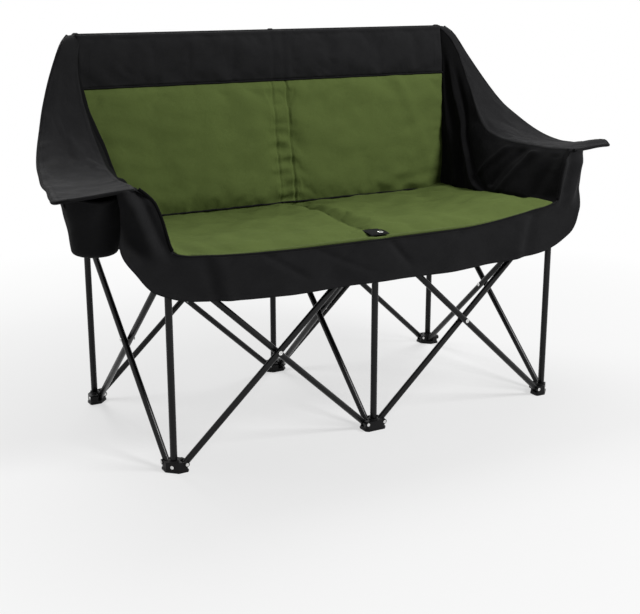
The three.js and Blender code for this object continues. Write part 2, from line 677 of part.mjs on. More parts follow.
function addCupHolder() {
  const floor = CUP_BOTTOM + CUP_WALL;
  const profile = [
    [0, CUP_BOTTOM], [CUP_BOTTOM_D / 2, CUP_BOTTOM], [CUP_TOP_D / 2, CUP_TOP],
    [CUP_TOP_D / 2 - CUP_WALL, CUP_TOP], [CUP_BOTTOM_D / 2 - CUP_WALL, floor], [0, floor],
  ];
  const outline = profile.map(([x, y]) => new THREE.Vector2(x, y));
  const cup = new THREE.LatheGeometry(outline, CUP_SIDES).rotateX(Math.PI / 2);
  const share = (CUP_Y - SKIRT_ARM_FRONT) / (ARM_REAR_Y - SKIRT_ARM_FRONT);
  const inner = armInner(share);
  const outer = armOuter(share);
  const tabs = [-1, 1].map((side) => {
    const x = side * (CUP_TOP_D / 2 - CUP_WALL);
    const across = (CUP_X + x - inner.x) / (outer.x - inner.x);
    const top = flapSurface(share, across).z - FLAP_THICK - TOUCH;
    const xs = [x - CUP_WALL / 2, x + CUP_WALL / 2];
    return block(xs, [-CUP_TAB_WIDTH / 2, CUP_TAB_WIDTH / 2], [CUP_TOP - CUP_TAB_LAP, top]);
  });
  add('cup_holder', cutAndJoined(cup, [], tabs), 'black', at(CUP_X, CUP_Y));
}

addPosts();
addBraces();
addCrossRivets();
addArmTubes();
addSeat();
addTab();
addBack();
addTopBand();
addArms();
addSkirt();
addCupHolder();

export default loveseat;
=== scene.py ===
"""Folding camping loveseat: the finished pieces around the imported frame, in metres."""
import math
from collections import namedtuple

import bmesh
import bpy
import numpy as np
from mathutils import Matrix, Vector, noise


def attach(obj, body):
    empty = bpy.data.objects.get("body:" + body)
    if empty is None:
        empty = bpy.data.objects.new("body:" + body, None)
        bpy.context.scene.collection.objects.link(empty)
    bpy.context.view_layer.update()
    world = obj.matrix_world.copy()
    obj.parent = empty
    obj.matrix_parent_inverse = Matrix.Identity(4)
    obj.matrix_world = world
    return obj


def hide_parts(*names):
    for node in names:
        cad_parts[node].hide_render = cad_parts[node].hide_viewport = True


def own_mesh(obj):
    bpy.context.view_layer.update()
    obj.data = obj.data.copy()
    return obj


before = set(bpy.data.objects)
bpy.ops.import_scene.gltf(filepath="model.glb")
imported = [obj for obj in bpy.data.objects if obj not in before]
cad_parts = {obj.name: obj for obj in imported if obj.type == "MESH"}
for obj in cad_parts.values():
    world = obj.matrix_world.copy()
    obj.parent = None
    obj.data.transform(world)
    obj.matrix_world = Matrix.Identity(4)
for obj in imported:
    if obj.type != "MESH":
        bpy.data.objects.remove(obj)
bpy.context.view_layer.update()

# Frame
BAY = 0.520  # post to post, across the seat and front to back
LOW_PIVOT = 0.018
HIGH_PIVOT = 0.456
PIVOT_INSET = 0.023
POST_R = 0.008
POST_FOOT = 0.007
FRONT_POST_TOP = 0.4397
REAR_POST_TOP = 0.9202
SLIDE_R = 0.006
SLIDE_LENGTH = 0.267
TUBE_WALL = 0.0013
TUBE_SIDES = 32
TUBE_EDGE = 0.0005
TUBE_BORE = 2.5  # how deep a tube's end is open, in radii
BRACE_R = 0.0075
BRACE_END = 0.006
BRACE_RUN = BAY - 2 * PIVOT_INSET
BRACE_RISE = HIGH_PIVOT - LOW_PIVOT
BRACE_LENGTH = math.hypot(BRACE_RUN, BRACE_RISE)
SLOT_PLAY = 0.0004
SIDE_STEP = BRACE_R + SLOT_PLAY
END_REACH = math.hypot(BRACE_END, BRACE_R) + SLOT_PLAY
ARM_LEAN = math.radians(19.5)
ARM_TOP = 0.637
COLUMNS = {"left": -1, "centre": 0, "right": 1}
ROWS = {"front": -1, "rear": 1}

# Feet, hubs and rivets
FOOT_REACH = 0.027  # from the post's axis, on the sides with braces
FOOT_SIDE = 0.0185  # and on a corner foot's two outer sides
FOOT_CORNER = 0.011  # and to a corner foot's outer corner
FOOT_FACE = 0.015  # and on a centre foot's outer side
FOOT_INNER = 0.007  # where a corner foot's inner corner is cut off
FOOT_END_CUT = 0.004
FOOT_FACE_CUT = 0.006
FOOT_HEIGHT = 0.024
FLANGE_PAST = 0.0015
FLANGE_HEIGHT = 0.005
COLLAR_WALL = 0.003
COLLAR_SINK = 0.004
COLLAR_RISE = 0.003
BOSS_R = 0.0062
BOSS_PAST = 0.0015
HUB_WIDTH = 0.054
HUB_TOP = HIGH_PIVOT + 0.013
HUB_BOTTOM = HIGH_PIVOT - 0.016
CORNER_CUT = 0.0125
MOULD_EDGE = 0.0008
POST_PLAY = 0.0002
FOOT_PLAY = 0.0003
SLIDE_PLAY = 0.0003
HUB_PLAY = 0.0004
SLOT_OVER = 0.02  # how far a slot's cutter goes past the top
SLOT_UNDER = 0.01  # and past the bottom
FOOT_BORE_TOP = 0.1  # where the post holes' cutters end
HUB_BORE_LOW = 0.3
HUB_BORE_TOP = 0.6
PIN_R = 0.002
PIN_SINK = 0.001
HEAD_SINK = 0.0002
HEAD_GAP = 0.0001
MOULD_HEAD = (0.0029, 0.0017)  # a rivet head's radius and height
CROSS_HEAD = (0.0036, 0.0022)
CORNER_RIVET_Z = 0.013

# Seat and back
TOUCH = 0.0005
HUB_FRONT = -BAY / 2 - HUB_WIDTH / 2
SLING_TOP = HUB_TOP + 0.002
SLING_THICK = 0.0015
SLING_SAG = 0.004
SLING_HALF = BAY + 0.010
SLING_REAR = BAY / 2 - 0.016
SEAT_UNDER = SLING_TOP + TOUCH
SEAT_THICK = 0.010
SEAT_RIM = 0.005
SEAT_CROWN = 0.007
SEAT_UPTURN = 0.022
SEAT_GROOVE = 0.007
SEAT_SEWN_DIP = 0.003
SEAT_RIDGE = 0.004
SEAT_LEAST = 0.003  # what the cushion's thickness never goes under
SEAT_EDGE = SEAT_UNDER + SEAT_THICK + SEAT_UPTURN
SEAT_FRONT = HUB_FRONT + TOUCH
SEAT_REAR = BAY / 2 - 0.092
SEAT_FRONT_HALF = BAY - 0.013
SEAT_REAR_HALF = BAY - 0.038
TAB_WIDTH = 0.050
TAB_LENGTH = 0.044
TAB_THICK = 0.0018
TAB_BACK = 0.026  # from the seat's front edge to the tab's middle
TAB_PITCH = 0.004
SNAP_PLACE = (0.007, -0.008, 0.003)
SNAP_RING_R = 0.0055
SNAP_WIRE_R = 0.0018
SNAP_HEAD = (0.0042, 0.0014)
BACK_TOP = 0.926
BACK_LOW = SEAT_UNDER + 0.0145
BACK_FOOT_Y = SEAT_REAR + 0.004
BACK_HEAD_Y = 0.234
BACK_TOP_HALF = BAY + 0.005
BACK_THICK = 0.012
BACK_CROWN = 0.020
BACK_SEAM_DIP = 0.0045
BAND_LOW = BACK_TOP - 0.1285
SLEEVE_SEAM = 0.021  # from the middle to each of the back's seams
BAND_SEAM = 0.016
LINING_THICK = 0.0015
LINING_SLACK = 0.0035
BAND_DEPTH = BACK_THICK + TOUCH + LINING_THICK
BAND_CROWN = 0.006
BAND_REAR_CROWN = 0.003
BAND_SEAM_DIP = 0.0022
BAND_TOP_ROW = 23  # the row of points along the band's upper seam
POCKET_R = 0.0118
POCKET_DROP = 0.080
POCKET_CLOTH = 0.0015

# Arms, skirt and pouch
ARM_FRONT_Y = -0.2715
ARM_REAR_Y = 0.240
FLAP_FRONT_Y = -0.260
FLAP_REAR_Y = 0.250
FLAP_THICK = 0.008
FLAP_CROWN = 0.004
WALL_THICK = 0.003
SKIRT_THICK = 0.003
SKIRT_FRONT = HUB_FRONT - TOUCH - SKIRT_THICK
SKIRT_CLOTH = 0.0022
SKIRT_TOP = 0.631
SKIRT_HEM = 0.0012
STRIP_X = 0.516  # past this the skirt's inner edge runs up the arm tube
STRIP_WRAP = 0.022  # how far the strip goes back past the tube
STRIP_BULGE = 0.006
STRIP_VALLEY = 0.008
LEFT_STRIP_WIDER = 0.025
CORNER_LIFT = 0.016
CUP_X = -BAY - 0.125
CUP_Y = 0.090 - BAY / 2
CUP_TOP = 0.614
CUP_BOTTOM = 0.487
CUP_TOP_R = 0.066
CUP_BOTTOM_R = 0.050
CUP_CLOTH = 0.0022
CUP_ROUND = 0.86  # share of its depth where the pouch starts to round in
STRAP_WIDTH = 0.024
STRAP_THICK = 0.0018
STRAP_DROP = 0.022

# Rolled edges
BAND_ROLL_R = 0.0036
FLAP_ROLL_R = 0.0040
CUP_ROLL_R = 0.0032
FULL_ROLL_R = 0.0042
FINE_ROLL_R = 0.0022

# Half the back's width at -X and +X from its foot to its top: share of the height, then width
BACK_HALVES = {
    "left": [(0, 0.492), (0.35, 0.516), (0.7, 0.537), (1, 0.527)],
    "right": [(0, 0.497), (0.35, 0.508), (0.7, 0.517), (1, 0.519)],
}

# Edges of the right armrest from front to rear: y, then x and z
FLAP_INNER = [
    (-0.260, 0.588, 0.637), (-0.235, 0.575, 0.634), (-0.205, 0.567, 0.632), (-0.115, 0.563, 0.632),
    (-0.055, 0.554, 0.634), (-0.010, 0.549, 0.640), (0.035, 0.543, 0.653), (0.080, 0.541, 0.683),
    (0.125, 0.541, 0.728), (0.170, 0.541, 0.787), (0.210, 0.534, 0.862), (0.236, 0.516, 0.915),
    (0.250, 0.506, 0.926),
]
FLAP_OUTER = [
    (-0.260, 0.728, 0.633), (-0.255, 0.739, 0.631), (-0.243, 0.746, 0.628), (-0.200, 0.742, 0.626),
    (-0.115, 0.723, 0.626), (-0.055, 0.715, 0.628), (-0.010, 0.705, 0.638), (0.035, 0.695, 0.655),
    (0.080, 0.679, 0.682), (0.125, 0.658, 0.717), (0.170, 0.631, 0.774), (0.210, 0.595, 0.846),
    (0.236, 0.560, 0.907), (0.250, 0.543, 0.922),
]
FLAP_INNER_OUT = {"left": 0.0, "right": 0.024}  # how far the inner edge stands out where it rises

# How far each armrest's front outer corner is lifted, drawn in and turned down
FLAP_CORNERS = {"left": (-0.005, 0.0, 0.0), "right": (0.024, 0.032, 0.015)}

# Edges of the front skirt from the middle to the armrest at +X: x and z
SKIRT_OUTER = [
    (0, 0.373), (0.250, 0.374), (0.380, 0.379), (0.440, 0.384), (0.500, 0.393), (0.545, 0.410),
    (0.566, 0.422), (0.580, 0.440), (0.590, 0.468), (0.603, 0.510), (0.613, 0.550), (0.620, 0.600),
    (0.624, 0.634),
]
SKIRT_INNER = [
    (0, 0.473), (0.250, 0.475), (0.375, 0.480), (0.443, 0.485), (0.495, 0.491), (0.514, 0.497),
    (0.521, 0.509), (0.528, 0.536), (0.533, 0.560), (0.540, 0.585), (0.552, 0.612), (0.575, 0.634),
]

# Pleats at the seat's rear corner at +X: height, share along, lean, width, then share back of start and run
SEAT_PLEATS = [
    (0.0045, 0.86, 0.25, 0.035, 0.45, 0.40), (0.0040, 0.74, 0.30, 0.030, 0.55, 0.35),
    (-0.0030, 0.80, 0.28, 0.030, 0.50, 0.40),
]

# Creases that fan out over the seat from its rear middle: reach along x, then height
SEAT_CREASES = [(0.30, 0.0030), (-0.26, 0.0034), (0.55, 0.0022), (-0.50, 0.0020), (0.12, -0.0025)]

# Folds of the side walls: height, upper and lower end as shares along and up, then width
WALL_FOLDS = [
    (0.012, (0.97, 1.0), (0.56, 0.0), 0.030), (-0.009, (0.93, 0.98), (0.48, 0.0), 0.032),
    (0.009, (0.99, 0.9), (0.78, 0.0), 0.026), (-0.007, (0.96, 0.9), (0.69, 0.0), 0.028),
    (0.008, (0.22, 0.95), (0.42, 0.05), 0.030), (-0.007, (0.10, 0.95), (0.16, 0.0), 0.024),
    (0.007, (0.40, 0.97), (0.60, 0.30), 0.022), (-0.006, (0.31, 0.97), (0.50, 0.15), 0.026),
]

# Unevenness of the cloth: height, size, how much closer it comes along x, y and z, and any seed of its own
SEAT_WAVES = (0.0090, 0.13, (1, 1.2, 1), 1)
SEAT_PUCKER = (0.0060, 0.055, (1, 1.5, 1), 2)
SEAT_REAR_PUCKER = (0.0100, 0.06, (0.7, 1.4, 1), 8)
BACK_SEAM_PUCKER = (0.0190, 0.026, (0.6, 1, 1.2), 4)
BACK_LOW_PUCKER = (0.0110, 0.040, (0.6, 1, 1.6), 6)
BACK_WAVES = (0.0060, 0.14, (1, 1, 1.3), 3)
BACK_PUCKER = (0.0032, 0.055, (1, 1, 1.4), 3)
LINING_WAVES = (0.002, 0.12, (1, 1, 0.5), 5)
BAND_WAVES = (0.0022, 0.11, (1, 1, 1.3), 7)
FLAP_WAVES = (0.0022, 0.10, (1.2, 0.8, 0.8))
FLAP_PUCKER = (0.0011, 0.028, (0.8, 1.2, 1.2))
FLAP_SEEDS = {"left": 11, "right": 12}
WALL_WAVES = (0.007, 0.10, (1, 1, 0.6))
WALL_PUCKER = (0.0045, 0.040, (1, 1, 0.8))
WALL_SEEDS = {"left": 21, "right": 22}
SKIRT_WAVES = (0.0085, 0.13, (1, 1, 0.6), 31)
SKIRT_PUCKER = (0.0026, 0.045, (0.8, 1, 1), 32)
CUP_DENTS = (0.0042, 0.035, (1, 1, 0.6), 41)

# Slanting creases of the skirt: x at its upper edge, lean, then depth
SKIRT_CREASES = [
    (0.02, 0.9, 0.005), (-0.06, -1.3, 0.0045), (-0.30, 1.6, 0.0045), (0.24, -1.4, 0.004),
    (-0.18, 2.2, 0.0035),
]

# Gathers of the skirt below each end of the seat: x, depth, then width
SKIRT_GATHERS = [(0.43, 0.0045, 0.014), (0.40, -0.003, 0.016)]

# Soft pieces: body, axis, anchor, and the share that is kept; only the body is read here
WALL_TURN = 0.13  # the walls' axis runs along the line to their upper front corners
FOLDS = {
    "back": ("rear_centre", (1, 0, 0), (0, 0.2, 0.7), 0.142),
    "seat": ("seat", (1, 0, 0), (0, 0, 0.48), 0.142),
    "skirt": ("front_centre_hub", (1, 0, 0), (0, -0.28, 0.42), 0.142),
    "left_wall": ("rear_left", (WALL_TURN, 1, 0), (-BAY, BAY / 2, 0.7), 0.2),
    "right_wall": ("rear_right", (-WALL_TURN, 1, 0), (BAY, BAY / 2, 0.7), 0.2),
    "left_arm": ("left_armrest", (1, 0, 0), (-BAY - 0.009, 0, 0.63), 0.2),
    "right_arm": ("right_armrest", (1, 0, 0), (BAY + 0.009, 0, 0.63), 0.2),
}

FORWARD = (0, -1, 0)
BACKWARD = (0, 1, 0)
UPWARD = (0, 0, 1)
LEFTWARD = (-1, 0, 0)
RIGHTWARD = (1, 0, 0)
QUARTER_TURN = math.pi / 2
LAID_ACROSS = Matrix.Rotation(QUARTER_TURN, 4, "X")

scene = bpy.context.scene


# Materials

NOISE_LOW = 0.3  # most of a noise pattern lies between these two
NOISE_HIGH = 0.7


def set_all(target, values):
    for key, value in values.items():
        setattr(target, key, value)
    return target


def blank(name, colour, rough, settings=None):
    """A new material with its shader's colour, roughness and other values set."""
    made = bpy.data.materials.new(name)
    made.use_nodes = True
    shader = made.node_tree.nodes["Principled BSDF"]
    shader.inputs["Base Color"].default_value = (*colour, 1)
    shader.inputs["Roughness"].default_value = rough
    for key, value in (settings or {}).items():
        shader.inputs[key].default_value = value
    return made, made.node_tree, shader


def node(tree, kind, inputs=None, **settings):
    """Adds a node, sets it up and links or fills its inputs."""
    made = set_all(tree.nodes.new(kind), settings)
    for key, value in (inputs or {}).items():
        if isinstance(value, bpy.types.NodeSocket):
            tree.links.new(value, made.inputs[key])
        else:
            made.inputs[key].default_value = value
    return made


def maths(tree, operation, first, second=0.0):
    return node(tree, "ShaderNodeMath", {0: first, 1: second}, operation=operation).outputs[0]


def times(tree, first, second):
    return maths(tree, "MULTIPLY", first, second)


def ramp(tree, value, low, high, to_low, to_high):
    inputs = {"Value": value, "From Min": low, "From Max": high, "To Min": to_low, "To Max": to_high}
    return node(tree, "ShaderNodeMapRange", inputs).outputs["Result"]


def blend(tree, share, first, second):
    return node(tree, "ShaderNodeMix", {0: share, 2: first, 3: second}, data_type="FLOAT").outputs[0]


def shade(tree, colour, value):
    """Colour times a grey value."""
    inputs = {0: 1.0, 6: (*colour, 1), 7: value}
    return node(tree, "ShaderNodeMix", inputs, data_type="RGBA", blend_type="MULTIPLY").outputs[2]


def stretched(tree, place, scale):
    return node(tree, "ShaderNodeMapping", {"Vector": place, "Scale": scale}).outputs[0]


def cloud(tree, place, scale, detail=3.0, rough=0.55):
    inputs = {"Vector": place, "Scale": scale, "Detail": detail, "Roughness": rough}
    return node(tree, "ShaderNodeTexNoise", inputs).outputs["Fac"]


def patchy(tree, place, scale, low, high):
    """Soft patches between two values."""
    return ramp(tree, cloud(tree, place, scale), NOISE_LOW, NOISE_HIGH, low, high)


def bump(tree, strength, distance, height):
    return node(tree, "ShaderNodeBump", {"Strength": strength, "Distance": distance, "Height": height})


def linked(tree, shader, colour, tone, relief, rough=None):
    """Gives a shader its uneven colour, its relief and its uneven gloss."""
    tree.links.new(shade(tree, colour, tone), shader.inputs["Base Color"])
    tree.links.new(relief.outputs[0], shader.inputs["Normal"])
    if rough is not None:
        tree.links.new(rough, shader.inputs["Roughness"])


def woven(name, colour, thread, rough, sheen, mottle, slub, gloss=0.05):
    """Plain-weave cloth on the piece's own map, in metres."""
    settings = {"Sheen Weight": sheen, "Sheen Roughness": 0.45, "Specular IOR Level": gloss}
    made, tree, shader = blank(name, colour, rough, settings)
    place = node(tree, "ShaderNodeUVMap", uv_map="cloth").outputs["UV"]
    split = node(tree, "ShaderNodeSeparateXYZ", {0: place})
    threads = []
    cells = []
    for axis in (0, 1):
        count = times(tree, split.outputs[axis], 1 / thread)
        threads.append(maths(tree, "SINE", times(tree, maths(tree, "FRACT", count), math.pi)))
        cells.append(maths(tree, "FLOOR", count))
    over = maths(tree, "FLOORED_MODULO", maths(tree, "ADD", *cells), 2.0)
    weave = blend(tree, over, *threads)
    streaks = [cloud(tree, stretched(tree, place, scale), 1.0) for scale in ((60, 900, 1), (900, 60, 1))]
    uneven = maths(tree, "ADD", *streaks)
    tone = patchy(tree, place, 7.0, 1 - mottle, 1 + mottle)
    tone = times(tree, tone, ramp(tree, uneven, 0.7, 1.3, 1 - slub, 1 + slub))
    tone = times(tree, tone, ramp(tree, weave, 0.0, 1.0, 0.8, 1.1))
    creases = bump(tree, 0.45, 0.003, cloud(tree, place, 38.0, 4.0))
    relief = bump(tree, 0.35, thread * 0.4, weave)
    tree.links.new(creases.outputs[0], relief.inputs["Normal"])
    linked(tree, shader, colour, tone, relief, patchy(tree, place, 25.0, rough - 0.07, rough + 0.07))
    return made


def ribbed(name, colour, rib):
    """Webbing and thread: fine ribs across the piece."""
    made, tree, shader = blank(name, colour, 0.75, {"Sheen Weight": 0.03, "Specular IOR Level": 0.05})
    place = node(tree, "ShaderNodeTexCoord").outputs["Object"]
    split = node(tree, "ShaderNodeSeparateXYZ", {0: place}).outputs
    diagonal = maths(tree, "ADD", split[0], maths(tree, "ADD", split[1], split[2]))
    rows = maths(tree, "SINE", times(tree, diagonal, 2 * math.pi / rib))
    tone = times(tree, ramp(tree, rows, -1.0, 1.0, 0.7, 1.15), patchy(tree, place, 600.0, 0.85, 1.15))
    linked(tree, shader, colour, tone, bump(tree, 0.4, rib * 0.3, rows))
    return made


def coated(name, colour, rough, grain, depth, scuff, specular):
    """Powder-coated tube or moulded plastic: a fine grain, uneven gloss and faint scuffs."""
    made, tree, shader = blank(name, colour, rough, {"Specular IOR Level": specular})
    place = node(tree, "ShaderNodeTexCoord").outputs["Object"]
    streaks = stretched(tree, place, (1.0, 1.0, 0.25))
    worn = ramp(tree, cloud(tree, streaks, 55.0, 6.0, 0.7), 0.60, 0.78, 0.0, 1.0)
    tone = times(tree, patchy(tree, place, 14.0, 0.85, 1.15), ramp(tree, worn, 0.0, 1.0, 1.0, scuff))
    gloss = patchy(tree, place, 40.0, rough - 0.06, rough + 0.06)
    gloss = maths(tree, "ADD", gloss, times(tree, worn, 0.12))
    linked(tree, shader, colour, tone, bump(tree, 0.3, depth, cloud(tree, place, grain)), gloss)
    return made


def bright_metal(name, colour):
    made, tree, shader = blank(name, colour, 0.28, {"Metallic": 1.0})
    place = node(tree, "ShaderNodeTexCoord").outputs["Object"]
    tone = patchy(tree, place, 120.0, 0.85, 1.1)
    relief = bump(tree, 0.2, 0.0001, cloud(tree, place, 900.0))
    linked(tree, shader, colour, tone, relief, patchy(tree, place, 300.0, 0.2, 0.36))
    return made


# Each finish is a material with its slot
GREEN = (0.085, 0.115, 0.033)
BLACK = (0.0113, 0.0113, 0.0120)
# The side walls' black is the same polyester darkened: painted shade
SHADED_WALL_BLACK = (0.0054, 0.0054, 0.0057)
DEEP_BLACK = (0.007, 0.007, 0.0075)
TUBE_BLACK = (0.0050, 0.0050, 0.0053)
MOULD_BLACK = (0.004, 0.004, 0.0043)
green_cloth = woven("green polyester", GREEN, thread=0.0009, rough=0.80, sheen=0.0, mottle=0.06, slub=0.06,
                    gloss=0.03), "green_fabric"
black_cloth = woven("black polyester", BLACK, thread=0.0009, rough=0.74, sheen=0.03, mottle=0.10,
                    slub=0.12), "black_fabric"
# A darker copy of the black polyester: painted shade on the side walls and the strips' rolled edges
shaded_wall_cloth = woven("black side cloth with painted shade", SHADED_WALL_BLACK, thread=0.0009, rough=0.78, sheen=0.008, mottle=0.10,
                   slub=0.12, gloss=0.02), "black_fabric"
lining_cloth = woven("black lining", DEEP_BLACK, thread=0.0006, rough=0.6, sheen=0.02, mottle=0.10,
                     slub=0.10), "black_fabric"
black_tape = ribbed("black binding tape", DEEP_BLACK, rib=0.0016), "black_fabric"
green_tape = ribbed("green rolled edge", GREEN, rib=0.0016), "green_fabric"
black_thread = ribbed("black thread", (0.009, 0.009, 0.0095), rib=0.0012), "black_fabric"
green_thread = ribbed("green thread", (0.045, 0.061, 0.017), rib=0.0012), "green_fabric"
black_tube = coated("black powder coat", TUBE_BLACK, rough=0.28, grain=1400.0, depth=0.00004, scuff=1.5,
                    specular=0.22), "frame_steel"
black_moulding = coated("black moulding", MOULD_BLACK, rough=0.42, grain=2200.0, depth=0.00008, scuff=1.4,
                        specular=0.16), "moulded_plastic"
rivet_metal = bright_metal("bright rivet", (0.74, 0.74, 0.73)), "bright_rivet"


# Making rigid pieces

def only(piece=None):
    """Selects this piece alone and makes it active, or selects nothing."""
    bpy.ops.object.select_all(action="DESELECT")
    if piece:
        piece.select_set(True)
        bpy.context.view_layer.objects.active = piece


def modified(piece, kind, **values):
    only(piece)
    modifier = set_all(piece.modifiers.new(kind.title(), kind), values)
    bpy.ops.object.modifier_apply(modifier=modifier.name)


def settled(piece):
    """Puts a piece's place, turn and size into its mesh."""
    only(piece)
    bpy.ops.object.transform_apply(location=True, rotation=True, scale=True)
    return piece


def smoothed(piece, angle=None):
    only(piece)
    if angle:
        bpy.ops.object.shade_smooth_by_angle(angle=math.radians(angle))
    else:
        bpy.ops.object.shade_smooth()
    return piece


def pick(piece, faces=None, edges=None):
    """In edit mode, selects the faces or the edges that pass a test."""
    bpy.ops.mesh.select_mode(type="FACE" if faces else "EDGE")
    bpy.ops.mesh.select_all(action="DESELECT")
    mesh = bmesh.from_edit_mesh(piece.data)
    for item in (mesh.faces if faces else mesh.edges):
        if (faces or edges)(item):
            item.select_set(True)
    bmesh.update_edit_mesh(piece.data)


def copied(pattern, name, matrix):
    """A copy with a mesh of its own, placed in the mesh."""
    made = pattern.copy()
    made.data = pattern.data.copy()
    made.name = name
    made.data.transform(matrix)
    scene.collection.objects.link(made)
    return made


def dropped(*pieces):
    for piece in pieces:
        bpy.data.objects.remove(piece)


def dress(piece, finish, body, *nodes):
    """Gives a piece its finish, the body that it rides on and the nodes that it stands for."""
    material, slot = finish
    piece.data.materials.clear()
    piece.data.materials.append(material)
    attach(piece, body)
    if nodes:
        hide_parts(*nodes)
    return piece


def joined(pieces, name):
    only(pieces[0])
    for piece in pieces:
        piece.select_set(True)
    bpy.ops.object.join()
    pieces[0].name = name
    return pieces[0]


def cylinder_of(radius, low, high, sides=24):
    """An upright cylinder round the Z axis."""
    only()
    middle = (0, 0, (low + high) / 2)
    bpy.ops.mesh.primitive_cylinder_add(vertices=sides, radius=radius, depth=high - low, location=middle)
    return settled(bpy.context.object)


def box_of(low, high):
    """A box between two corners."""
    low, high = Vector(low), Vector(high)
    only()
    bpy.ops.mesh.primitive_cube_add(size=1, location=(low + high) / 2)
    made = bpy.context.object
    made.scale = high - low
    return settled(made)


def tube(radius, low, high):
    """A tube along Z with open, softened ends."""
    made = cylinder_of(radius, low, high, TUBE_SIDES)
    bpy.ops.object.mode_set(mode="EDIT")
    pick(made, faces=lambda f: abs(f.normal.z) > 0.9)
    bpy.ops.mesh.inset(thickness=TUBE_WALL, use_individual=True)
    bpy.ops.mesh.inset(thickness=0.0001, depth=-TUBE_BORE * radius, use_individual=True)
    pick(made, edges=lambda e: all(min(v.co.z - low, high - v.co.z) < 1e-5 for v in e.verts)
         and all(v.co.xy.length > radius * 0.98 for v in e.verts))
    bpy.ops.mesh.bevel(offset=TUBE_EDGE, segments=2)
    bpy.ops.object.mode_set(mode="OBJECT")
    return smoothed(made, 40)


def domed_head(radius, height):
    """A rivet head on Z = 0 with a rounded top and a shallow dimple."""
    made = cylinder_of(radius, 0, height)
    bpy.ops.object.mode_set(mode="EDIT")
    pick(made, edges=lambda e: all(v.co.z > height * 0.9 for v in e.verts))
    bpy.ops.mesh.bevel(offset=height * 0.85, segments=4)
    pick(made, faces=lambda f: f.normal.z > 0.95 and f.calc_center_median().z > height * 0.9)
    bpy.ops.mesh.inset(thickness=radius * 0.35)
    bpy.ops.mesh.inset(thickness=radius * 0.08, depth=-height * 0.15)
    bpy.ops.object.mode_set(mode="OBJECT")
    return smoothed(made, 50)


def aim(start, direction):
    """Takes +Z to a direction from a point."""
    turn = Vector(UPWARD).rotation_difference(Vector(direction))
    return Matrix.Translation(start) @ turn.to_matrix().to_4x4()


# Frame

def post_at(row, column):
    return COLUMNS[column] * BAY, ROWS[row] * BAY / 2


# Each brace stands on one post's foot and reaches the next post's hub
Brace = namedtuple("Brace", "name bay foot hub step")
braces = []
for row in ROWS:
    for side in ("left", "right"):
        bay = f"{row}_{side}"
        step = ROWS[row] * SIDE_STEP
        braces.append(Brace(f"{bay}_outer_brace", bay, (row, side), (row, "centre"), step))
        braces.append(Brace(f"{bay}_inner_brace", bay, (row, "centre"), (row, side), -step))
for bay, column, way in (("left_end", "left", -1), ("middle", "centre", -1), ("right_end", "right", 1)):
    step = way * SIDE_STEP
    braces.append(Brace(f"{bay}_front_brace", bay, ("front", column), ("rear", column), step))
    braces.append(Brace(f"{bay}_rear_brace", bay, ("rear", column), ("front", column), -step))


def heading_of(brace):
    return (Vector(post_at(*brace.hub)) - Vector(post_at(*brace.foot))).normalized()


def add_tubes():
    front_post = tube(POST_R, POST_FOOT, FRONT_POST_TOP)
    rear_post = tube(POST_R, POST_FOOT, REAR_POST_TOP)
    slide = tube(SLIDE_R, HUB_BOTTOM - SLIDE_LENGTH, HIGH_PIVOT)
    brace_tube = tube(BRACE_R, -BRACE_END, BRACE_LENGTH + BRACE_END)
    arm_rise = ARM_TOP - FLAP_THICK - TOUCH - BRACE_R * math.sin(ARM_LEAN) - HIGH_PIVOT
    arm = tube(BRACE_R, -BRACE_END, arm_rise / math.cos(ARM_LEAN))
    for row in ROWS:
        for column in COLUMNS:
            post = f"{row}_{column}"
            place = Matrix.Translation((*post_at(row, column), 0))
            made = copied(rear_post if row == "rear" else front_post, f"{post}_upright", place)
            dress(made, black_tube, post, f"{post}_post")
            if row == "front":
                made = copied(slide, f"{post}_inner_tube", place)
                dress(made, black_tube, f"{post}_hub", f"{post}_slide_tube")
    for brace in braces:
        heading = heading_of(brace)
        x, y = post_at(*brace.foot)
        aside = Vector((0, brace.step, 0)) if abs(heading.x) > 0.5 else Vector((brace.step, 0, 0))
        start = Vector((x + PIVOT_INSET * heading.x, y + PIVOT_INSET * heading.y, LOW_PIVOT)) + aside
        rise = Vector((heading.x * BRACE_RUN, heading.y * BRACE_RUN, BRACE_RISE))
        made = copied(brace_tube, f"{brace.name}_tube", aim(start, rise))
        dress(made, black_tube, brace.name, brace.name)
    for side in ("left", "right"):
        out = COLUMNS[side]
        x, y = post_at("front", side)
        lean = Vector((out * math.sin(ARM_LEAN), 0, math.cos(ARM_LEAN)))
        made = copied(arm, f"{side}_arm_upright", aim((x + out * PIVOT_INSET, y, HIGH_PIVOT), lean))
        dress(made, black_tube, f"{side}_arm", f"{side}_arm_tube")
    dropped(front_post, rear_post, slide, brace_tube, arm)


def add_cross_rivets():
    head = domed_head(*CROSS_HEAD)
    grip = SIDE_STEP + BRACE_R
    shank = cylinder_of(PIN_R, -grip, grip, 16)
    modified(shank, "BEVEL", width=0.0003, segments=1)
    for first, second in zip(braces[::2], braces[1::2]):
        heading = heading_of(first)
        low, high = Vector(post_at(*first.foot)), Vector(post_at(*first.hub))
        middle = Vector((*((low + high) / 2), (LOW_PIVOT + HIGH_PIVOT) / 2))
        side = Vector((-heading.y, heading.x, 0))
        pieces = [copied(shank, "shank", aim(middle, side))]
        for way in (-1, 1):
            pieces.append(copied(head, "end", aim(middle + way * (grip + HEAD_GAP) * side, way * side)))
        made = joined(pieces, f"{first.bay}_crossing_rivet")
        dress(made, rivet_metal, second.name, f"{first.bay}_cross_rivet")
    dropped(head, shank)


def combined(piece, other, operation):
    modified(piece, "BOOLEAN", object=other, operation=operation, solver="EXACT")
    dropped(other)


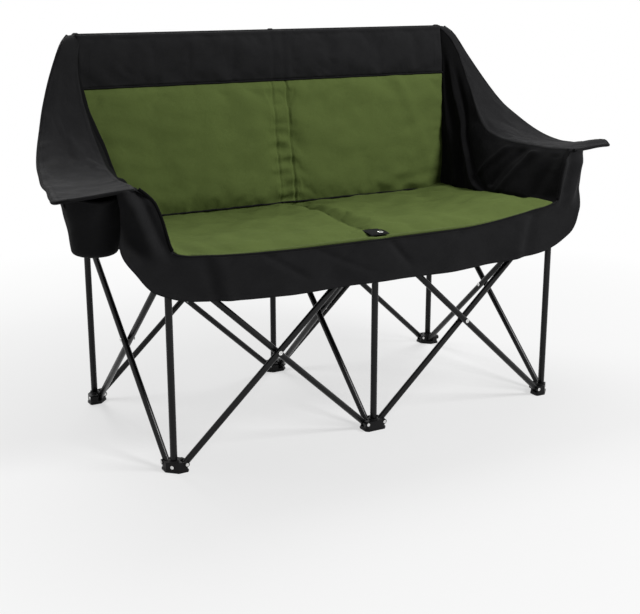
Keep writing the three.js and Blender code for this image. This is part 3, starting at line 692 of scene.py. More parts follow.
def cut_block(plan, low, high):
    """An upright block with its four upright corners cut off."""
    xs, ys, cuts = plan
    made = box_of((xs[0], ys[0], low), (xs[1], ys[1], high))
    for (i, j), cut in cuts.items():
        corner = Vector((xs[i], ys[j]))
        bpy.ops.object.mode_set(mode="EDIT")
        pick(made, edges=lambda e: all((v.co.xy - corner).length < 1e-5 for v in e.verts))
        bpy.ops.mesh.bevel(offset=cut, segments=1)
        bpy.ops.object.mode_set(mode="OBJECT")
    return made


def hub_plan():
    half = HUB_WIDTH / 2
    return (-half, half), (-half, half), {(i, j): CORNER_CUT for i in (0, 1) for j in (0, 1)}


def foot_plan(row, column, past):
    """A foot's sides and corner cuts about its post, narrow on the sides that hold no brace."""
    reach, outer, face = FOOT_REACH + past, FOOT_SIDE + past, FOOT_FACE + past
    away = int(ROWS[row] > 0)
    if column == "centre":
        ys = (-reach, face) if away else (-face, reach)
        cuts = {(i, j): FOOT_FACE_CUT if j == away else CORNER_CUT for i in (0, 1) for j in (0, 1)}
        return (-reach, reach), ys, cuts
    out = int(COLUMNS[column] > 0)
    xs = (-reach, outer) if out else (-outer, reach)
    ys = (-reach, outer) if away else (-outer, reach)
    cuts = {(i, j): FOOT_END_CUT for i in (0, 1) for j in (0, 1)}
    cuts[out, away] = 2 * outer - math.sqrt(2) * (FOOT_CORNER + past)
    cuts[1 - out, 1 - away] = reach - FOOT_INNER
    return xs, ys, cuts


def across_pin(plan, heading):
    """How far a plan goes to each side of a pin, seen along the brace that turns on it."""
    *sides, cuts = plan
    way = (round(math.cos(heading)), round(math.sin(heading)))
    along = 0 if way[0] else 1
    limits = []
    for j in (0, 1):
        limit = sides[1 - along][j]
        for i in (0, 1):
            corner = (j, i) if along else (i, j)
            gap = cuts[corner] - abs(sides[along][i] - PIVOT_INSET * way[along])
            limit -= math.copysign(max(gap, 0), limit)
        limits.append(limit)
    left = -way[1] if along else way[0]
    low, high = sorted(left * limit for limit in limits)
    return low - BOSS_PAST, high + BOSS_PAST


def pins_of(kind, row, column):
    """The pins in a foot or a hub: the way that each tube leaves, and its place to the left of that."""
    pins = []
    for brace in braces:
        if getattr(brace, kind) == (row, column):
            way = heading_of(brace) if kind == "foot" else -heading_of(brace)
            offset = brace.step * way.x if abs(way.x) > 0.5 else -brace.step * way.y
            pins.append((math.atan2(way.y, way.x), offset))
    if kind == "hub" and row == "front" and column != "centre":
        pins.append((math.pi if column == "left" else 0.0, 0.0))
    return pins


def pin_place(heading, reach, height):
    return Matrix.Rotation(heading, 4, "Z") @ Matrix.Translation((PIVOT_INSET, reach, height))


def moulding(kind, row, column, plan, pins):
    """A foot or a hub about its post: a cut block with rivet bosses, brace slots and a post hole."""
    if kind == "foot":
        low, high, pin_height = 0.0, FOOT_HEIGHT, LOW_PIVOT
        hole = POST_R + POST_PLAY, POST_FOOT - FOOT_PLAY, FOOT_BORE_TOP
    else:
        low, high, pin_height = HUB_BOTTOM, HUB_TOP, HIGH_PIVOT
        hole = POST_R + HUB_PLAY, HUB_BORE_LOW, HUB_BORE_TOP
        if row == "front":
            hole = SLIDE_R + SLIDE_PLAY, HUB_BORE_LOW, HIGH_PIVOT + SLIDE_PLAY
    made = cut_block(plan, low, high)
    for heading, _ in pins:
        left, right = across_pin(plan, heading)
        boss = cylinder_of(BOSS_R, -right, -left)
        boss.data.transform(pin_place(heading, 0, pin_height) @ LAID_ACROSS)
        combined(made, boss, "UNION")
    if kind == "foot":
        combined(made, cut_block(foot_plan(row, column, FLANGE_PAST), 0, FLANGE_HEIGHT), "UNION")
        collar = cylinder_of(POST_R + COLLAR_WALL, high - COLLAR_SINK, high + COLLAR_RISE, 28)
        combined(made, collar, "UNION")
    half = BRACE_R + SLOT_PLAY
    for heading, offset in pins:
        upward = kind == "foot" or abs(offset) < 1e-6
        bottom = pin_height - END_REACH if upward else low - SLOT_UNDER
        top = high + SLOT_OVER if upward else pin_height + END_REACH
        near = PIVOT_INSET - END_REACH
        slot = box_of((near, offset - half, bottom), (2 * FOOT_REACH, offset + half, top))
        slot.data.transform(Matrix.Rotation(heading, 4, "Z"))
        combined(made, slot, "DIFFERENCE")
    combined(made, cylinder_of(*hole, TUBE_SIDES), "DIFFERENCE")
    sharp = math.radians(35)
    modified(made, "BEVEL", width=MOULD_EDGE, segments=2, limit_method="ANGLE", angle_limit=sharp)
    return smoothed(made, 40)


def moulding_rivets(kind, row, column, plan, pins, place, head):
    """The rivets that hold the braces in a foot or a hub, and a corner foot's outer one."""
    height = LOW_PIVOT if kind == "foot" else HIGH_PIVOT
    made = []
    for heading, _ in pins:
        left, right = across_pin(plan, heading)
        for way, reach in ((-1, left + HEAD_SINK), (1, right - HEAD_SINK)):
            spot = place @ pin_place(heading, reach, height)
            made.append(copied(head, "end", spot @ Matrix.Rotation(-way * QUARTER_TURN, 4, "X")))
        shank = cylinder_of(PIN_R, PIN_SINK - right, -PIN_SINK - left, 12)
        shank.data.transform(place @ pin_place(heading, 0, height) @ LAID_ACROSS)
        made.append(shank)
    if kind == "foot" and column != "centre":
        turn = Matrix.Rotation(math.atan2(ROWS[row], COLUMNS[column]), 4, "Z")
        spot = place @ turn @ Matrix.Translation((FOOT_CORNER - HEAD_SINK, 0, CORNER_RIVET_Z))
        made.append(copied(head, "end", spot @ Matrix.Rotation(QUARTER_TURN, 4, "Y")))
    return joined(made, f"{row}_{column}_{kind}_rivets")


def add_mouldings():
    head = domed_head(*MOULD_HEAD)
    for row in ROWS:
        for column in COLUMNS:
            post = f"{row}_{column}"
            place = Matrix.Translation((*post_at(row, column), 0))
            for kind, body in (("foot", post), ("hub", f"{post}_hub")):
                pins = pins_of(kind, row, column)
                plan = foot_plan(row, column, 0) if kind == "foot" else hub_plan()
                made = moulding(kind, row, column, plan, pins)
                made.name = f"{post}_{kind}_moulding"
                made.data.transform(place)
                dress(made, black_moulding, body, f"{post}_{kind}")
                rivets = moulding_rivets(kind, row, column, plan, pins, place, head)
                dress(rivets, rivet_metal, body)
    dropped(head)


# Making cloth

CLOTH_FRAMES = 16
CLOTH = {
    "quality": 6, "mass": 0.2, "air_damping": 3, "tension_stiffness": 30, "compression_stiffness": 15,
    "shear_stiffness": 10, "bending_stiffness": 0.2, "vertex_group_mass": "sewn", "shrink_min": -0.012,
    "use_pressure": True,
}
STITCH_SIZE = (0.0018, 0.0005, 0.0004)
STITCH_PITCH = 0.0052
STITCH_LIFT = 0.0002


def mix(a, b, t):
    return a + (b - a) * t


def ease(t):
    t = np.clip(t, 0, 1)
    return t * t * (3 - 2 * t)


def swell(t):
    return 1 - (2 * t - 1) ** 4


def bell(distance, width):
    return np.exp(-(distance / width) ** 2)


def held_in(*shares):
    """0 at both ends of each share and 1 away from them, rising as steeply as each one says."""
    return math.prod(ease(steep * np.minimum(share, 1 - share)) for share, steep in shares)


def grid(us, vs):
    return np.meshgrid(us, vs, indexing="ij")


def even_grid(rows, columns):
    return grid(np.linspace(0, 1, rows), np.linspace(0, 1, columns))


def finer_middle(start, outer_count, inner_count):
    """Steps from 0 to 1, closer together from start to 1 - start."""
    outer = np.linspace(0, start, outer_count)
    inner = np.linspace(start, 1 - start, inner_count)
    return np.concatenate([outer, inner[1:-1], 1 - outer[::-1]])


def with_stops(steps, *stops):
    """Moves the nearest steps onto these stops."""
    for stop in stops:
        steps[np.argmin(abs(steps - stop))] = stop
    return steps


def stack(x, y, z):
    return np.stack(np.broadcast_arrays(x, y, z), axis=-1).astype(float)


def gone_along(points):
    """Distance from the first point to each point of a line."""
    return np.concatenate([[0], np.cumsum(np.linalg.norm(np.diff(points, axis=0), axis=-1))])


def through(keys, at):
    """A smooth line through rows of numbers, the first of which rises, read at these values."""
    keys = np.array(keys, float)
    x, y = keys[:, 0], keys[:, 1:]
    slope = np.gradient(y, x, axis=0)
    i = np.clip(np.searchsorted(x, at) - 1, 0, len(x) - 2)
    gap = (x[i + 1] - x[i])[..., None]
    t = np.clip((np.asarray(at) - x[i])[..., None] / gap, 0, 1)
    return ((1 + 2 * t) * (1 - t) ** 2 * y[i] + t * (1 - t) ** 2 * gap * slope[i]
            + t * t * (3 - 2 * t) * y[i + 1] + t * t * (t - 1) * gap * slope[i + 1])


def normals(points, towards=None):
    """The direction that a grid of points faces at each point, on the side of a given direction."""
    out = np.cross(np.gradient(points, axis=0), np.gradient(points, axis=1))
    out = out / np.maximum(np.linalg.norm(out, axis=-1, keepdims=True), 1e-12)
    if towards is not None:
        out = out * np.sign(out @ np.array(towards))[..., None]
    return out


def rumple(points, height, size, stretch, seed):
    """Smooth unevenness of about this height at each point."""
    flat = (points * np.array(stretch) / size).reshape(-1, 3)
    shift = Vector((seed * 7.31, seed * 3.17, seed * 5.93))
    values = [noise.noise(Vector(p) + shift) for p in flat]
    return height * np.array(values).reshape(points.shape[:2])


def lengths(points):
    """Distance along each row and along each column of a grid."""
    along = np.linalg.norm(np.diff(points, axis=0), axis=-1)
    across = np.linalg.norm(np.diff(points, axis=1), axis=-1)
    return along, across


def flat_spots(points):
    """A place on the flat cloth for each point of a grid."""
    along, across = lengths(points)
    u = np.concatenate([[0], np.cumsum(along.mean(axis=1))])
    v = np.concatenate([[0], np.cumsum(across.mean(axis=0))])
    return np.stack(grid(u, v), axis=-1)


def closed(points):
    return np.concatenate([points, points[:1]])


def quads(rows, columns):
    """The numbers of a grid's points, and its faces."""
    index = np.arange(rows * columns).reshape(rows, columns)
    faces = np.stack([index[:-1, :-1], index[1:, :-1], index[1:, 1:], index[:-1, 1:]], axis=-1)
    return index, faces.reshape(-1, 4)


def added(name, data):
    made = bpy.data.objects.new(name, data)
    scene.collection.objects.link(made)
    return made


def meshed(name, points, faces):
    mesh = bpy.data.meshes.new(name)
    mesh.from_pydata(points.tolist(), [], faces)
    return added(name, mesh)


def cloth_piece(name, points, faces, spots):
    """A piece of cloth with its map, in metres, from points, faces and one spot for each point."""
    made = meshed(name, points, faces)
    mesh = made.data
    layer = mesh.uv_layers.new(name="cloth")
    corners = np.empty(len(mesh.loops), int)
    mesh.loops.foreach_get("vertex_index", corners)
    layer.data.foreach_set("uv", spots[corners].astype(np.float32).ravel())
    only(made)
    bpy.ops.object.mode_set(mode="EDIT")
    bpy.ops.mesh.select_all(action="SELECT")
    bpy.ops.mesh.normals_make_consistent(inside=False)
    bpy.ops.object.mode_set(mode="OBJECT")
    return made


def refined(piece):
    modified(piece, "SUBSURF", levels=1, render_levels=1, uv_smooth="PRESERVE_BOUNDARIES")
    return smoothed(piece)


def shell(name, front, back):
    """A closed piece of cloth between a front and a back grid of points."""
    index, faces = quads(*front.shape[:2])
    count = index.size
    edge = np.concatenate([index[0, ::-1], index[1:, 0], index[-1, 1:], index[-2:0:-1, -1]])
    ahead = np.roll(edge, -1)
    rim = np.stack([ahead, edge, edge + count, ahead + count], axis=-1)
    faces = np.concatenate([faces, faces[:, ::-1] + count, rim])
    points = np.concatenate([front.reshape(-1, 3), back.reshape(-1, 3)])
    spots = flat_spots(front).reshape(-1, 2)
    return refined(cloth_piece(name, points, faces.tolist(), np.concatenate([spots, spots])))


def loft(name, points, thick):
    """A wall of cloth round a loop, closed at its last ring, from rings of points."""
    rows, columns = points.shape[:2]
    index = np.arange(rows * columns).reshape(rows, columns)
    ahead = np.roll(index, -1, axis=0)
    faces = np.stack([index[:, :-1], ahead[:, :-1], ahead[:, 1:], index[:, 1:]], axis=-1)
    faces = faces.reshape(-1, 4).tolist()
    centre = points[:, -1].mean(axis=0)
    floor_rings = 3
    floor = []
    last = index[:, -1]
    for ring in range(1, floor_rings):
        floor.append(mix(points[:, -1], centre, ring / floor_rings))
        here = index.size + (ring - 1) * rows + np.arange(rows)
        faces += np.stack([last, np.roll(last, -1), np.roll(here, -1), here], axis=-1).tolist()
        last = here
    tip = index.size + (floor_rings - 1) * rows
    faces += np.stack([last, np.roll(last, -1), np.full(rows, tip)], axis=-1).tolist()
    floor = np.concatenate([*floor, [centre]])
    spots = flat_spots(closed(points))[:-1].reshape(-1, 2)
    vertices = np.concatenate([points.reshape(-1, 3), floor])
    made = cloth_piece(name, vertices, faces, np.concatenate([spots, floor[:, :2]]))
    modified(made, "SOLIDIFY", thickness=thick, offset=-1)
    return refined(made)


def filled_out(points, push, cap, sewn=False):
    """Lets cloth that is pinned at its edges and seams fill out and pucker, and returns its new points."""
    pinned = np.zeros(points.shape[:2], bool) | sewn
    pinned[[0, -1], :] = True
    pinned[:, [0, -1]] = True
    sheet = meshed("trial", points.reshape(-1, 3), quads(*points.shape[:2])[1].tolist())
    group = sheet.vertex_groups.new(name="sewn")
    group.add(np.flatnonzero(pinned.ravel()).tolist(), 1.0, "REPLACE")
    cloth = sheet.modifiers.new("Cloth", "CLOTH")
    set_all(cloth.settings, CLOTH)
    cloth.settings.uniform_pressure_force = push
    cloth.settings.effector_weights.gravity = 0
    cloth.collision_settings.use_collision = False
    cloth.point_cache.frame_start = 1
    cloth.point_cache.frame_end = CLOTH_FRAMES
    for number in range(1, CLOTH_FRAMES + 1):
        scene.frame_set(number)
    result = sheet.evaluated_get(bpy.context.evaluated_depsgraph_get())
    found = np.empty(points.size)
    result.data.vertices.foreach_get("co", found)
    dropped(sheet)
    scene.frame_set(1)
    moved = found.reshape(points.shape) - points
    size = np.linalg.norm(moved, axis=-1, keepdims=True)
    return points + moved * cap * np.tanh(size / cap) / np.maximum(size, 1e-9)


def pulled(points):
    """The fabric isn't quite even: the seat's front corner at +X is pulled up."""
    x, y, z = points[..., 0], points[..., 1], points[..., 2]
    low_part = ease((0.60 - z) / 0.10) * ease((z - 0.36) / 0.10)
    moved = points.copy()
    moved[..., 2] += CORNER_LIFT * ease((x - 0.22) / 0.30) * ease((0.05 - y) / 0.30) * low_part
    return moved


def stitches(name, rows, pitch=STITCH_PITCH):
    """Short stitches along rows of points, each with the directions that they face."""
    only()
    bpy.ops.mesh.primitive_uv_sphere_add(segments=6, ring_count=4, radius=1)
    pattern = bpy.context.object
    shape = np.array([v.co for v in pattern.data.vertices]) * np.array(STITCH_SIZE)
    faces = [list(p.vertices) for p in pattern.data.polygons]
    dropped(pattern)
    points, all_faces = [], []
    for path, out in rows:
        gone = gone_along(path)
        stops = np.arange(pitch, gone[-1] - pitch / 2, pitch)
        spots = np.stack([np.interp(stops, gone, path[:, k]) for k in range(3)], axis=-1)
        ups = np.stack([np.interp(stops, gone, out[:, k]) for k in range(3)], axis=-1)
        for spot, up, ahead in zip(spots, ups, np.gradient(spots, axis=0)):
            ahead = ahead / np.linalg.norm(ahead)
            up = up - ahead * (up @ ahead)
            up = up / np.linalg.norm(up)
            side = np.cross(up, ahead)
            all_faces += [[i + len(points) * len(shape) for i in face] for face in faces]
            points.append(spot + up * STITCH_LIFT + shape @ np.stack([ahead, side, up]))
    return smoothed(meshed(name, np.concatenate(points), all_faces))


def piping(name, path, radius):
    """A rolled edge of cloth along a line of points."""
    line = bpy.data.curves.new(name, "CURVE")
    set_all(line, {"dimensions": "3D", "bevel_depth": radius, "bevel_resolution": 3, "use_fill_caps": True})
    spline = line.splines.new("POLY")
    spline.points.add(len(path) - 1)
    spline.points.foreach_set("co", np.c_[path, np.ones(len(path))].astype(np.float32).ravel())
    only(added(name, line))
    bpy.ops.object.convert(target="MESH")
    return smoothed(bpy.context.object)


def soft(piece, finish, fold, *nodes):
    """Dresses a soft piece on the body that its fold names, and gives it a mesh of its own."""
    body, axis, anchor, keep = FOLDS[fold]
    dress(piece, finish, body, *nodes)
    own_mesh(piece)
    return piece


# Seat

def upturn(u):
    return SEAT_UPTURN * abs(2 * u - 1) ** 8


def seat_height(u, v):
    edge = SEAT_RIM + (SEAT_THICK - SEAT_RIM) * swell(u) ** 0.3 * (1 - ease(1 - 9 * v))
    return SEAT_UNDER + edge + upturn(u)


def seat_half(v):
    return mix(SEAT_FRONT_HALF, SEAT_REAR_HALF, v)


def seat_creases(points, u, v):
    """The cushion's pleats, creases and unevenness."""
    x = points[..., 0]
    total = 0
    for tall, share, lean, width, start, run in SEAT_PLEATS:
        total = total + tall * bell((u - share) + lean * (v - 0.85), width) * ease((v - start) / run)
    for reach, tall in SEAT_CREASES:
        line = reach * (1 - v) + math.copysign(0.02, reach)
        total = total + tall * bell(x - line, 0.014) * ease((v - 0.35) / 0.5)
    total = total + rumple(points, *SEAT_WAVES) + rumple(points, *SEAT_PUCKER)
    rear_right = ease((x - 0.15) / 0.2) * ease((v - 0.40) / 0.3)
    return total + rumple(points, *SEAT_REAR_PUCKER) * rear_right


def add_seat():
    u, v = grid(finer_middle(0.44, 52, 29), np.linspace(0, 1, 58))
    s = 2 * u - 1
    x = s * seat_half(v)
    y = mix(SEAT_FRONT, SEAT_REAR, v)
    groove = SEAT_GROOVE * bell(x + 0.004 * np.sin(9 * v), 0.015) + SEAT_SEWN_DIP * bell(x, 0.0045)
    ridge = SEAT_RIDGE * bell(x - 0.045 + 0.03 * v, 0.02) * swell(v)
    top = stack(x, y, seat_height(u, v) + SEAT_CROWN * swell(u) * swell(v) - groove + ridge)
    under = stack(x, y, SEAT_UNDER + upturn(u))
    top[..., 2] += seat_creases(top, u, v) * held_in((v, 12), (u, 12))
    top = filled_out(top, push=1.2, cap=0.006, sewn=abs(x) < 0.001)
    top[..., 2] = np.maximum(top[..., 2], under[..., 2] + SEAT_LEAST)
    top, under = pulled(top), pulled(under)
    cushion = soft(shell("seat_cushion", top, under), green_cloth, "seat", "seat_pad")
    out = normals(top)
    middle = np.argmin(abs(u[:, 0] - 0.5))
    rows = [(top[i], out[i]) for i in (middle - 1, middle + 1)] + [(top[16:-16, 1], out[16:-16, 1])]
    soft(stitches("seat_stitching", rows), green_thread, "seat")
    sunk = 0.009 * ease((abs(s[:, :1]) - 0.90) / 0.08)
    roll = top[:, 0] + np.array([0, 0.0020, 0.0010]) + sunk * np.array([0, 1, -1])
    soft(piping("seat_front_roll", roll, FULL_ROLL_R), green_tape, "seat")


def add_sling():
    u, v = even_grid(61, 31)
    sag = SLING_SAG * np.sin(2 * math.pi * u) ** 2 * np.sin(math.pi * v)
    top = stack((2 * u - 1) * SLING_HALF, mix(SEAT_FRONT, SLING_REAR, v), SLING_TOP - sag)
    under = top - np.array([0, 0, SLING_THICK])
    sling = soft(shell("seat_sling_cloth", top, under), lining_cloth, "seat", "seat_sling")


def crest(y):
    return SEAT_CROWN * swell((y - SEAT_FRONT) / (SEAT_REAR - SEAT_FRONT))


def add_tab():
    middle = SEAT_FRONT + TAB_BACK
    nudge = 0.0005
    slope = math.atan((crest(middle + nudge) - crest(middle - nudge)) / (2 * nudge))
    spot = (0, middle, SEAT_UNDER + SEAT_THICK + crest(middle) + TOUCH)
    place = Matrix.Translation(spot) @ Matrix.Rotation(slope, 4, "X")
    u, v = even_grid(13, 11)
    flat = stack((u - 0.5) * TAB_WIDTH, (v - 0.5) * TAB_LENGTH, 0.002 - 0.0012 * ease((0.25 - v) / 0.25))
    turn = np.array(place)
    top = flat @ turn[:3, :3].T + turn[:3, 3]
    out = normals(top)
    tab = shell("centre_webbing_tab", top, top - out * TAB_THICK)
    dress(tab, black_tape, "front_centre_hub", "centre_tab")
    inset, up = top[1:-1, 1:-1], out[1:-1, 1:-1]
    rim = [(inset[:, 0], up[:, 0]), (inset[:, -1], up[:, -1]), (inset[0], up[0]), (inset[-1], up[-1])]
    thread = dress(stitches("tab_stitching", rim, TAB_PITCH), black_thread, "front_centre_hub")
    only()
    bpy.ops.mesh.primitive_torus_add(
        major_radius=SNAP_RING_R, minor_radius=SNAP_WIRE_R, major_segments=32, minor_segments=12)
    ring = bpy.context.object
    ring.scale = (1, 1, 0.55)
    snap = joined([settled(ring), domed_head(*SNAP_HEAD)], "tab_snap")
    snap.data.transform(place @ Matrix.Translation(SNAP_PLACE))
    dress(snap, rivet_metal, "front_centre_hub", "tab_eyelet")


# Back

def back_plane(u, z):
    rise = (z - BACK_LOW) / (BACK_TOP - BACK_LOW)
    left, right = (through(BACK_HALVES[side], np.clip(rise, 0, 1))[..., 0] for side in ("left", "right"))
    half = np.where(u < 0.5, left, right)
    return stack((2 * u - 1) * half, mix(BACK_FOOT_Y, BACK_HEAD_Y, rise), z)


def add_back():
    shift = SLEEVE_SEAM / (2 * BACK_TOP_HALF)
    across = with_stops(finer_middle(0.455, 58, 35), 0.5 - shift, 0.5 + shift)
    u, v = grid(across, np.linspace(0, 1, 52))
    plane = back_plane(u, mix(SLING_TOP + 0.002, BAND_LOW - TOUCH, v))
    x = plane[..., 0]
    out = normals(plane, FORWARD)
    sewn = (abs(u - 0.5 - shift) < 1e-9) | (abs(u - 0.5 + shift) < 1e-9)
    seams = bell(u - 0.5 - shift, 0.0034) + 0.6 * bell(u - 0.5 + shift, 0.0034)
    fullness = np.sqrt(ease(v / 0.17)) * (1 - 0.65 * v) * ease((1 - v) / 0.06)
    crown = BACK_CROWN * swell(u) ** 0.6 * fullness * (1 - 0.45 * bell(x, 0.06)) - BACK_SEAM_DIP * seams
    near_seams = bell(x + 0.006, 0.034) * (0.12 + 0.88 * (1 - v) ** 1.3)
    crown = crown + rumple(plane, *BACK_SEAM_PUCKER) * near_seams
    low_right = ease((x - 0.22) / 0.15) * ease((0.30 - v) / 0.25)
    crown += rumple(plane, *BACK_LOW_PUCKER) * low_right
    drag = 0.0035 * bell((u - 0.985) + 0.14 * v, 0.02)
    drag += 0.003 * bell(v - 0.06 - 0.05 * np.sin(9 * u), 0.05) * u
    uneven = rumple(plane, *BACK_WAVES) + rumple(plane, *BACK_PUCKER)
    crown += drag * ease(10 * (1 - u)) + uneven * held_in((v, 8))
    front = filled_out(plane + out * crown[..., None], push=0.8, cap=0.004, sewn=sewn)
    cushion = soft(shell("back_cushion", front, plane - out * BACK_THICK), green_cloth, "back", "back_pad")
    facing = normals(front, FORWARD)
    rows = [(front[i], facing[i]) for i in np.flatnonzero(sewn[:, 0])]
    soft(stitches("back_stitching", rows), green_thread, "back")
    # Black binding along the back's foot, also a dark line for the shade where back meets seat: partly
    # painted shade
    foot = front[1:-1, 2] + facing[1:-1, 2] * 0.0008
    soft(piping("back_foot_piping_and_shade", foot, FINE_ROLL_R), black_tape, "back")


def add_lining():
    u, v = even_grid(81, 30)
    plane = back_plane(u, mix(BACK_LOW, BAND_LOW, v))
    out = normals(plane, BACKWARD)
    slack = (LINING_SLACK + rumple(plane, *LINING_WAVES)) * swell(u) * swell(v)
    far = plane + out * (BAND_DEPTH + np.maximum(slack, 0))[..., None]
    lining = shell("back_lining_cloth", far, far - out * LINING_THICK)
    soft(lining, lining_cloth, "back", "back_lining")


def add_top_band():
    centre = BAND_SEAM / (2 * BACK_TOP_HALF)
    u, v = grid(with_stops(np.linspace(0, 1, 135), 0.5 - centre, 0.5 + centre), np.linspace(0, 1, 26))
    plane = back_plane(u, mix(BAND_LOW, BACK_TOP - 0.003, v))
    x = plane[..., 0]
    out = normals(plane, FORWARD)
    crown = BAND_CROWN * swell(u) ** 0.4 * swell(v) ** 0.5 - BAND_SEAM_DIP * bell(abs(x) - BAND_SEAM, 0.006)
    crown += rumple(plane, *BAND_WAVES) * swell(v)
    crown += 0.002 * bell(v - 0.5 - 0.2 * np.sin(6 * u), 0.25) - 0.002 * bell(v - 0.9, 0.02)
    upper_seam = abs(v - v[0, BAND_TOP_ROW]) < 1e-9
    front = filled_out(plane + out * crown[..., None], push=0.6, cap=0.004, sewn=upper_seam)
    behind = plane - out * (BAND_DEPTH + BAND_REAR_CROWN * swell(u) * swell(v))[..., None]
    cover = soft(shell("top_band_cover", front, behind), black_cloth, "back", "top_band")
    facing = normals(front, FORWARD)
    rows = [(front[3:-3, row], facing[3:-3, row]) for row in (1, BAND_TOP_ROW)]
    upright = [np.argmin(abs(u[:, 0] - 0.5 - way * centre)) for way in (-1, 1)] + [4, -5]
    rows += [(front[i, 2:22], facing[i, 2:22]) for i in upright]
    soft(stitches("band_stitching", rows), black_thread, "back")
    top_line = 0.5 * (front[:, -1] + behind[:, -1]) - np.array([0, 0, 0.001])
    soft(piping("band_top_piping", top_line, BAND_ROLL_R), black_tape, "back")
    lower = front[:, 0] + facing[:, 0] * 0.0005
    soft(piping("band_lower_piping", lower, FINE_ROLL_R), black_tape, "back")


def add_post_pockets():
    """A pocket over the top of each rear post, sewn to the back of the band."""
    angle, rise = grid(np.linspace(0, 2 * math.pi, 37)[:-1], np.linspace(0, 1, 14))
    z = mix(BACK_TOP - POCKET_DROP, BACK_TOP - TOUCH, rise)
    radius = POCKET_R * (1 - ease((rise - 0.93) / 0.07) * 0.55) * (1 + 0.03 * np.sin(5 * angle + 9 * rise))
    ahead = np.maximum(0, -np.sin(angle)) ** 2
    for column in COLUMNS:
        x0, y0 = post_at("rear", column)
        reach = (y0 - back_plane(np.array(0.5), z)[..., 1]) - BAND_DEPTH - radius
        y = y0 + radius * np.sin(angle) - ahead * np.maximum(reach, 0) * 0.9
        spots = stack(x0 + radius * np.cos(angle), y, z)
        pocket = soft(loft(f"rear_{column}_post_pocket", spots, POCKET_CLOTH), black_cloth, "back")


# Arms, made for the right and mirrored for the left

def handed(points, side):
    return points * np.array([COLUMNS[side], 1, 1])


def inner_edge(y, side):
    edge = through(FLAP_INNER, y)
    edge[..., 0] += FLAP_INNER_OUT[side] * ease((y - 0.04) / 0.12) * ease((0.25 - y) / 0.04)
    return edge


def flap_points(u, v, side):
    tip, draw, curl = FLAP_CORNERS[side]
    y = mix(FLAP_FRONT_Y, FLAP_REAR_Y, u)
    inner, outer = inner_edge(y, side), through(FLAP_OUTER, y)
    corner = ease(v) * ease((-0.10 - y) / 0.15)
    x = mix(inner[..., 0], outer[..., 0], v) - draw * corner
    z = mix(inner[..., 1], outer[..., 1], v) + tip * corner - curl * ease(v) * ease((-0.225 - y) / 0.035)
    return stack(x, y, z)


def add_flap(side):
    u, v = even_grid(78, 27)
    plane = flap_points(u, v, side)
    out = normals(plane, UPWARD)
    uneven = rumple(plane, *FLAP_WAVES, FLAP_SEEDS[side]) + rumple(plane, *FLAP_PUCKER, FLAP_SEEDS[side])
    crown = FLAP_CROWN * swell(u) ** 0.5 * swell(v) ** 0.5 + uneven * swell(u) * swell(v)
    top = filled_out(plane + out * crown[..., None], push=0.6, cap=0.004)
    under = plane - out * (FLAP_THICK - 0.001)
    fold = f"{side}_arm"
    pad = shell(f"{side}_armrest_pad", handed(top, side), handed(under, side))
    soft(pad, black_cloth, fold, f"{side}_arm_flap")
    middle = 0.5 * (top + under)
    edge = np.concatenate([middle[0, :-1], middle[:, -1]])
    soft(piping(f"{side}_armrest_piping", handed(edge, side), FLAP_ROLL_R), black_tape, fold)
    facing = normals(top, UPWARD)
    inside = slice(2, -2)
    lines = ((inside, -3), (2, inside), (inside, 2))
    rows = [(handed(top[line], side), handed(facing[line], side)) for line in lines]
    soft(stitches(f"{side}_armrest_stitching", rows), black_thread, fold)


def skirt_y(z):
    rise = np.clip((z - SEAT_EDGE) / (SKIRT_TOP - SEAT_EDGE), 0, 1)
    return mix(SKIRT_FRONT, ARM_FRONT_Y, rise) + 0.010 * ease((z - 0.600) / 0.03)


def wall_points(u, v, side):
    """The side wall from the seat's edge to the armrest, front to rear."""
    foot_in = 0.020 * ease(u / 0.3) * ease((1 - u) / 0.1)
    low = stack(seat_half(u) + 2 * TOUCH - foot_in, mix(SKIRT_FRONT, BACK_FOOT_Y, u), SEAT_EDGE - 0.014)
    y = mix(ARM_FRONT_Y + 0.004, ARM_REAR_Y, u)
    nudge = 0.002
    edge = inner_edge(y, side)
    rise = (inner_edge(y + nudge, side) - inner_edge(y - nudge, side))[..., 1] / (2 * nudge)
    drop = 0.001 / np.hypot(rise, 1)
    high = stack(edge[..., 0] + 0.003, y + drop * rise, edge[..., 1] - drop)
    lean = mix(v, v ** 8, 0.38 * (1 - u))
    x = mix(low[..., 0], high[..., 0], lean)
    y = mix(low[..., 1], high[..., 1], v)
    z = mix(low[..., 2], high[..., 2], v)
    front = ease(1 - u / 0.16)
    strip_x = np.interp(z, [key[1] for key in SKIRT_INNER], [key[0] for key in SKIRT_INNER])
    strip_y = skirt_y(z) + 0.0012
    x = mix(x, strip_x, front * (1 - v ** 6))
    y = mix(np.maximum(y, strip_y), strip_y, front)
    back = back_plane(np.full_like(z, side == "right"), z)
    back_y = back[..., 1] + BACK_THICK
    rear = ease((u - 0.82) / 0.18)
    x = mix(x, abs(back[..., 0]) + 0.0015, rear * (1 - v ** 12))
    y = mix(np.where(u > 0.5, np.minimum(y, back_y), y), back_y, rear * (1 - v ** 6))
    return stack(x, y, z)


def crease(u, v, top, foot, width):
    """A fold that runs between two places on the wall, each a share along it and up it."""
    (u0, v0), (u1, v1) = top, foot
    share = np.clip((v0 - v) / (v0 - v1), 0, 1)
    ends = ease((v0 - v) / 0.06) * ease((v - v1) / 0.06)
    return bell(u - mix(u0, u1, share), width) * ends


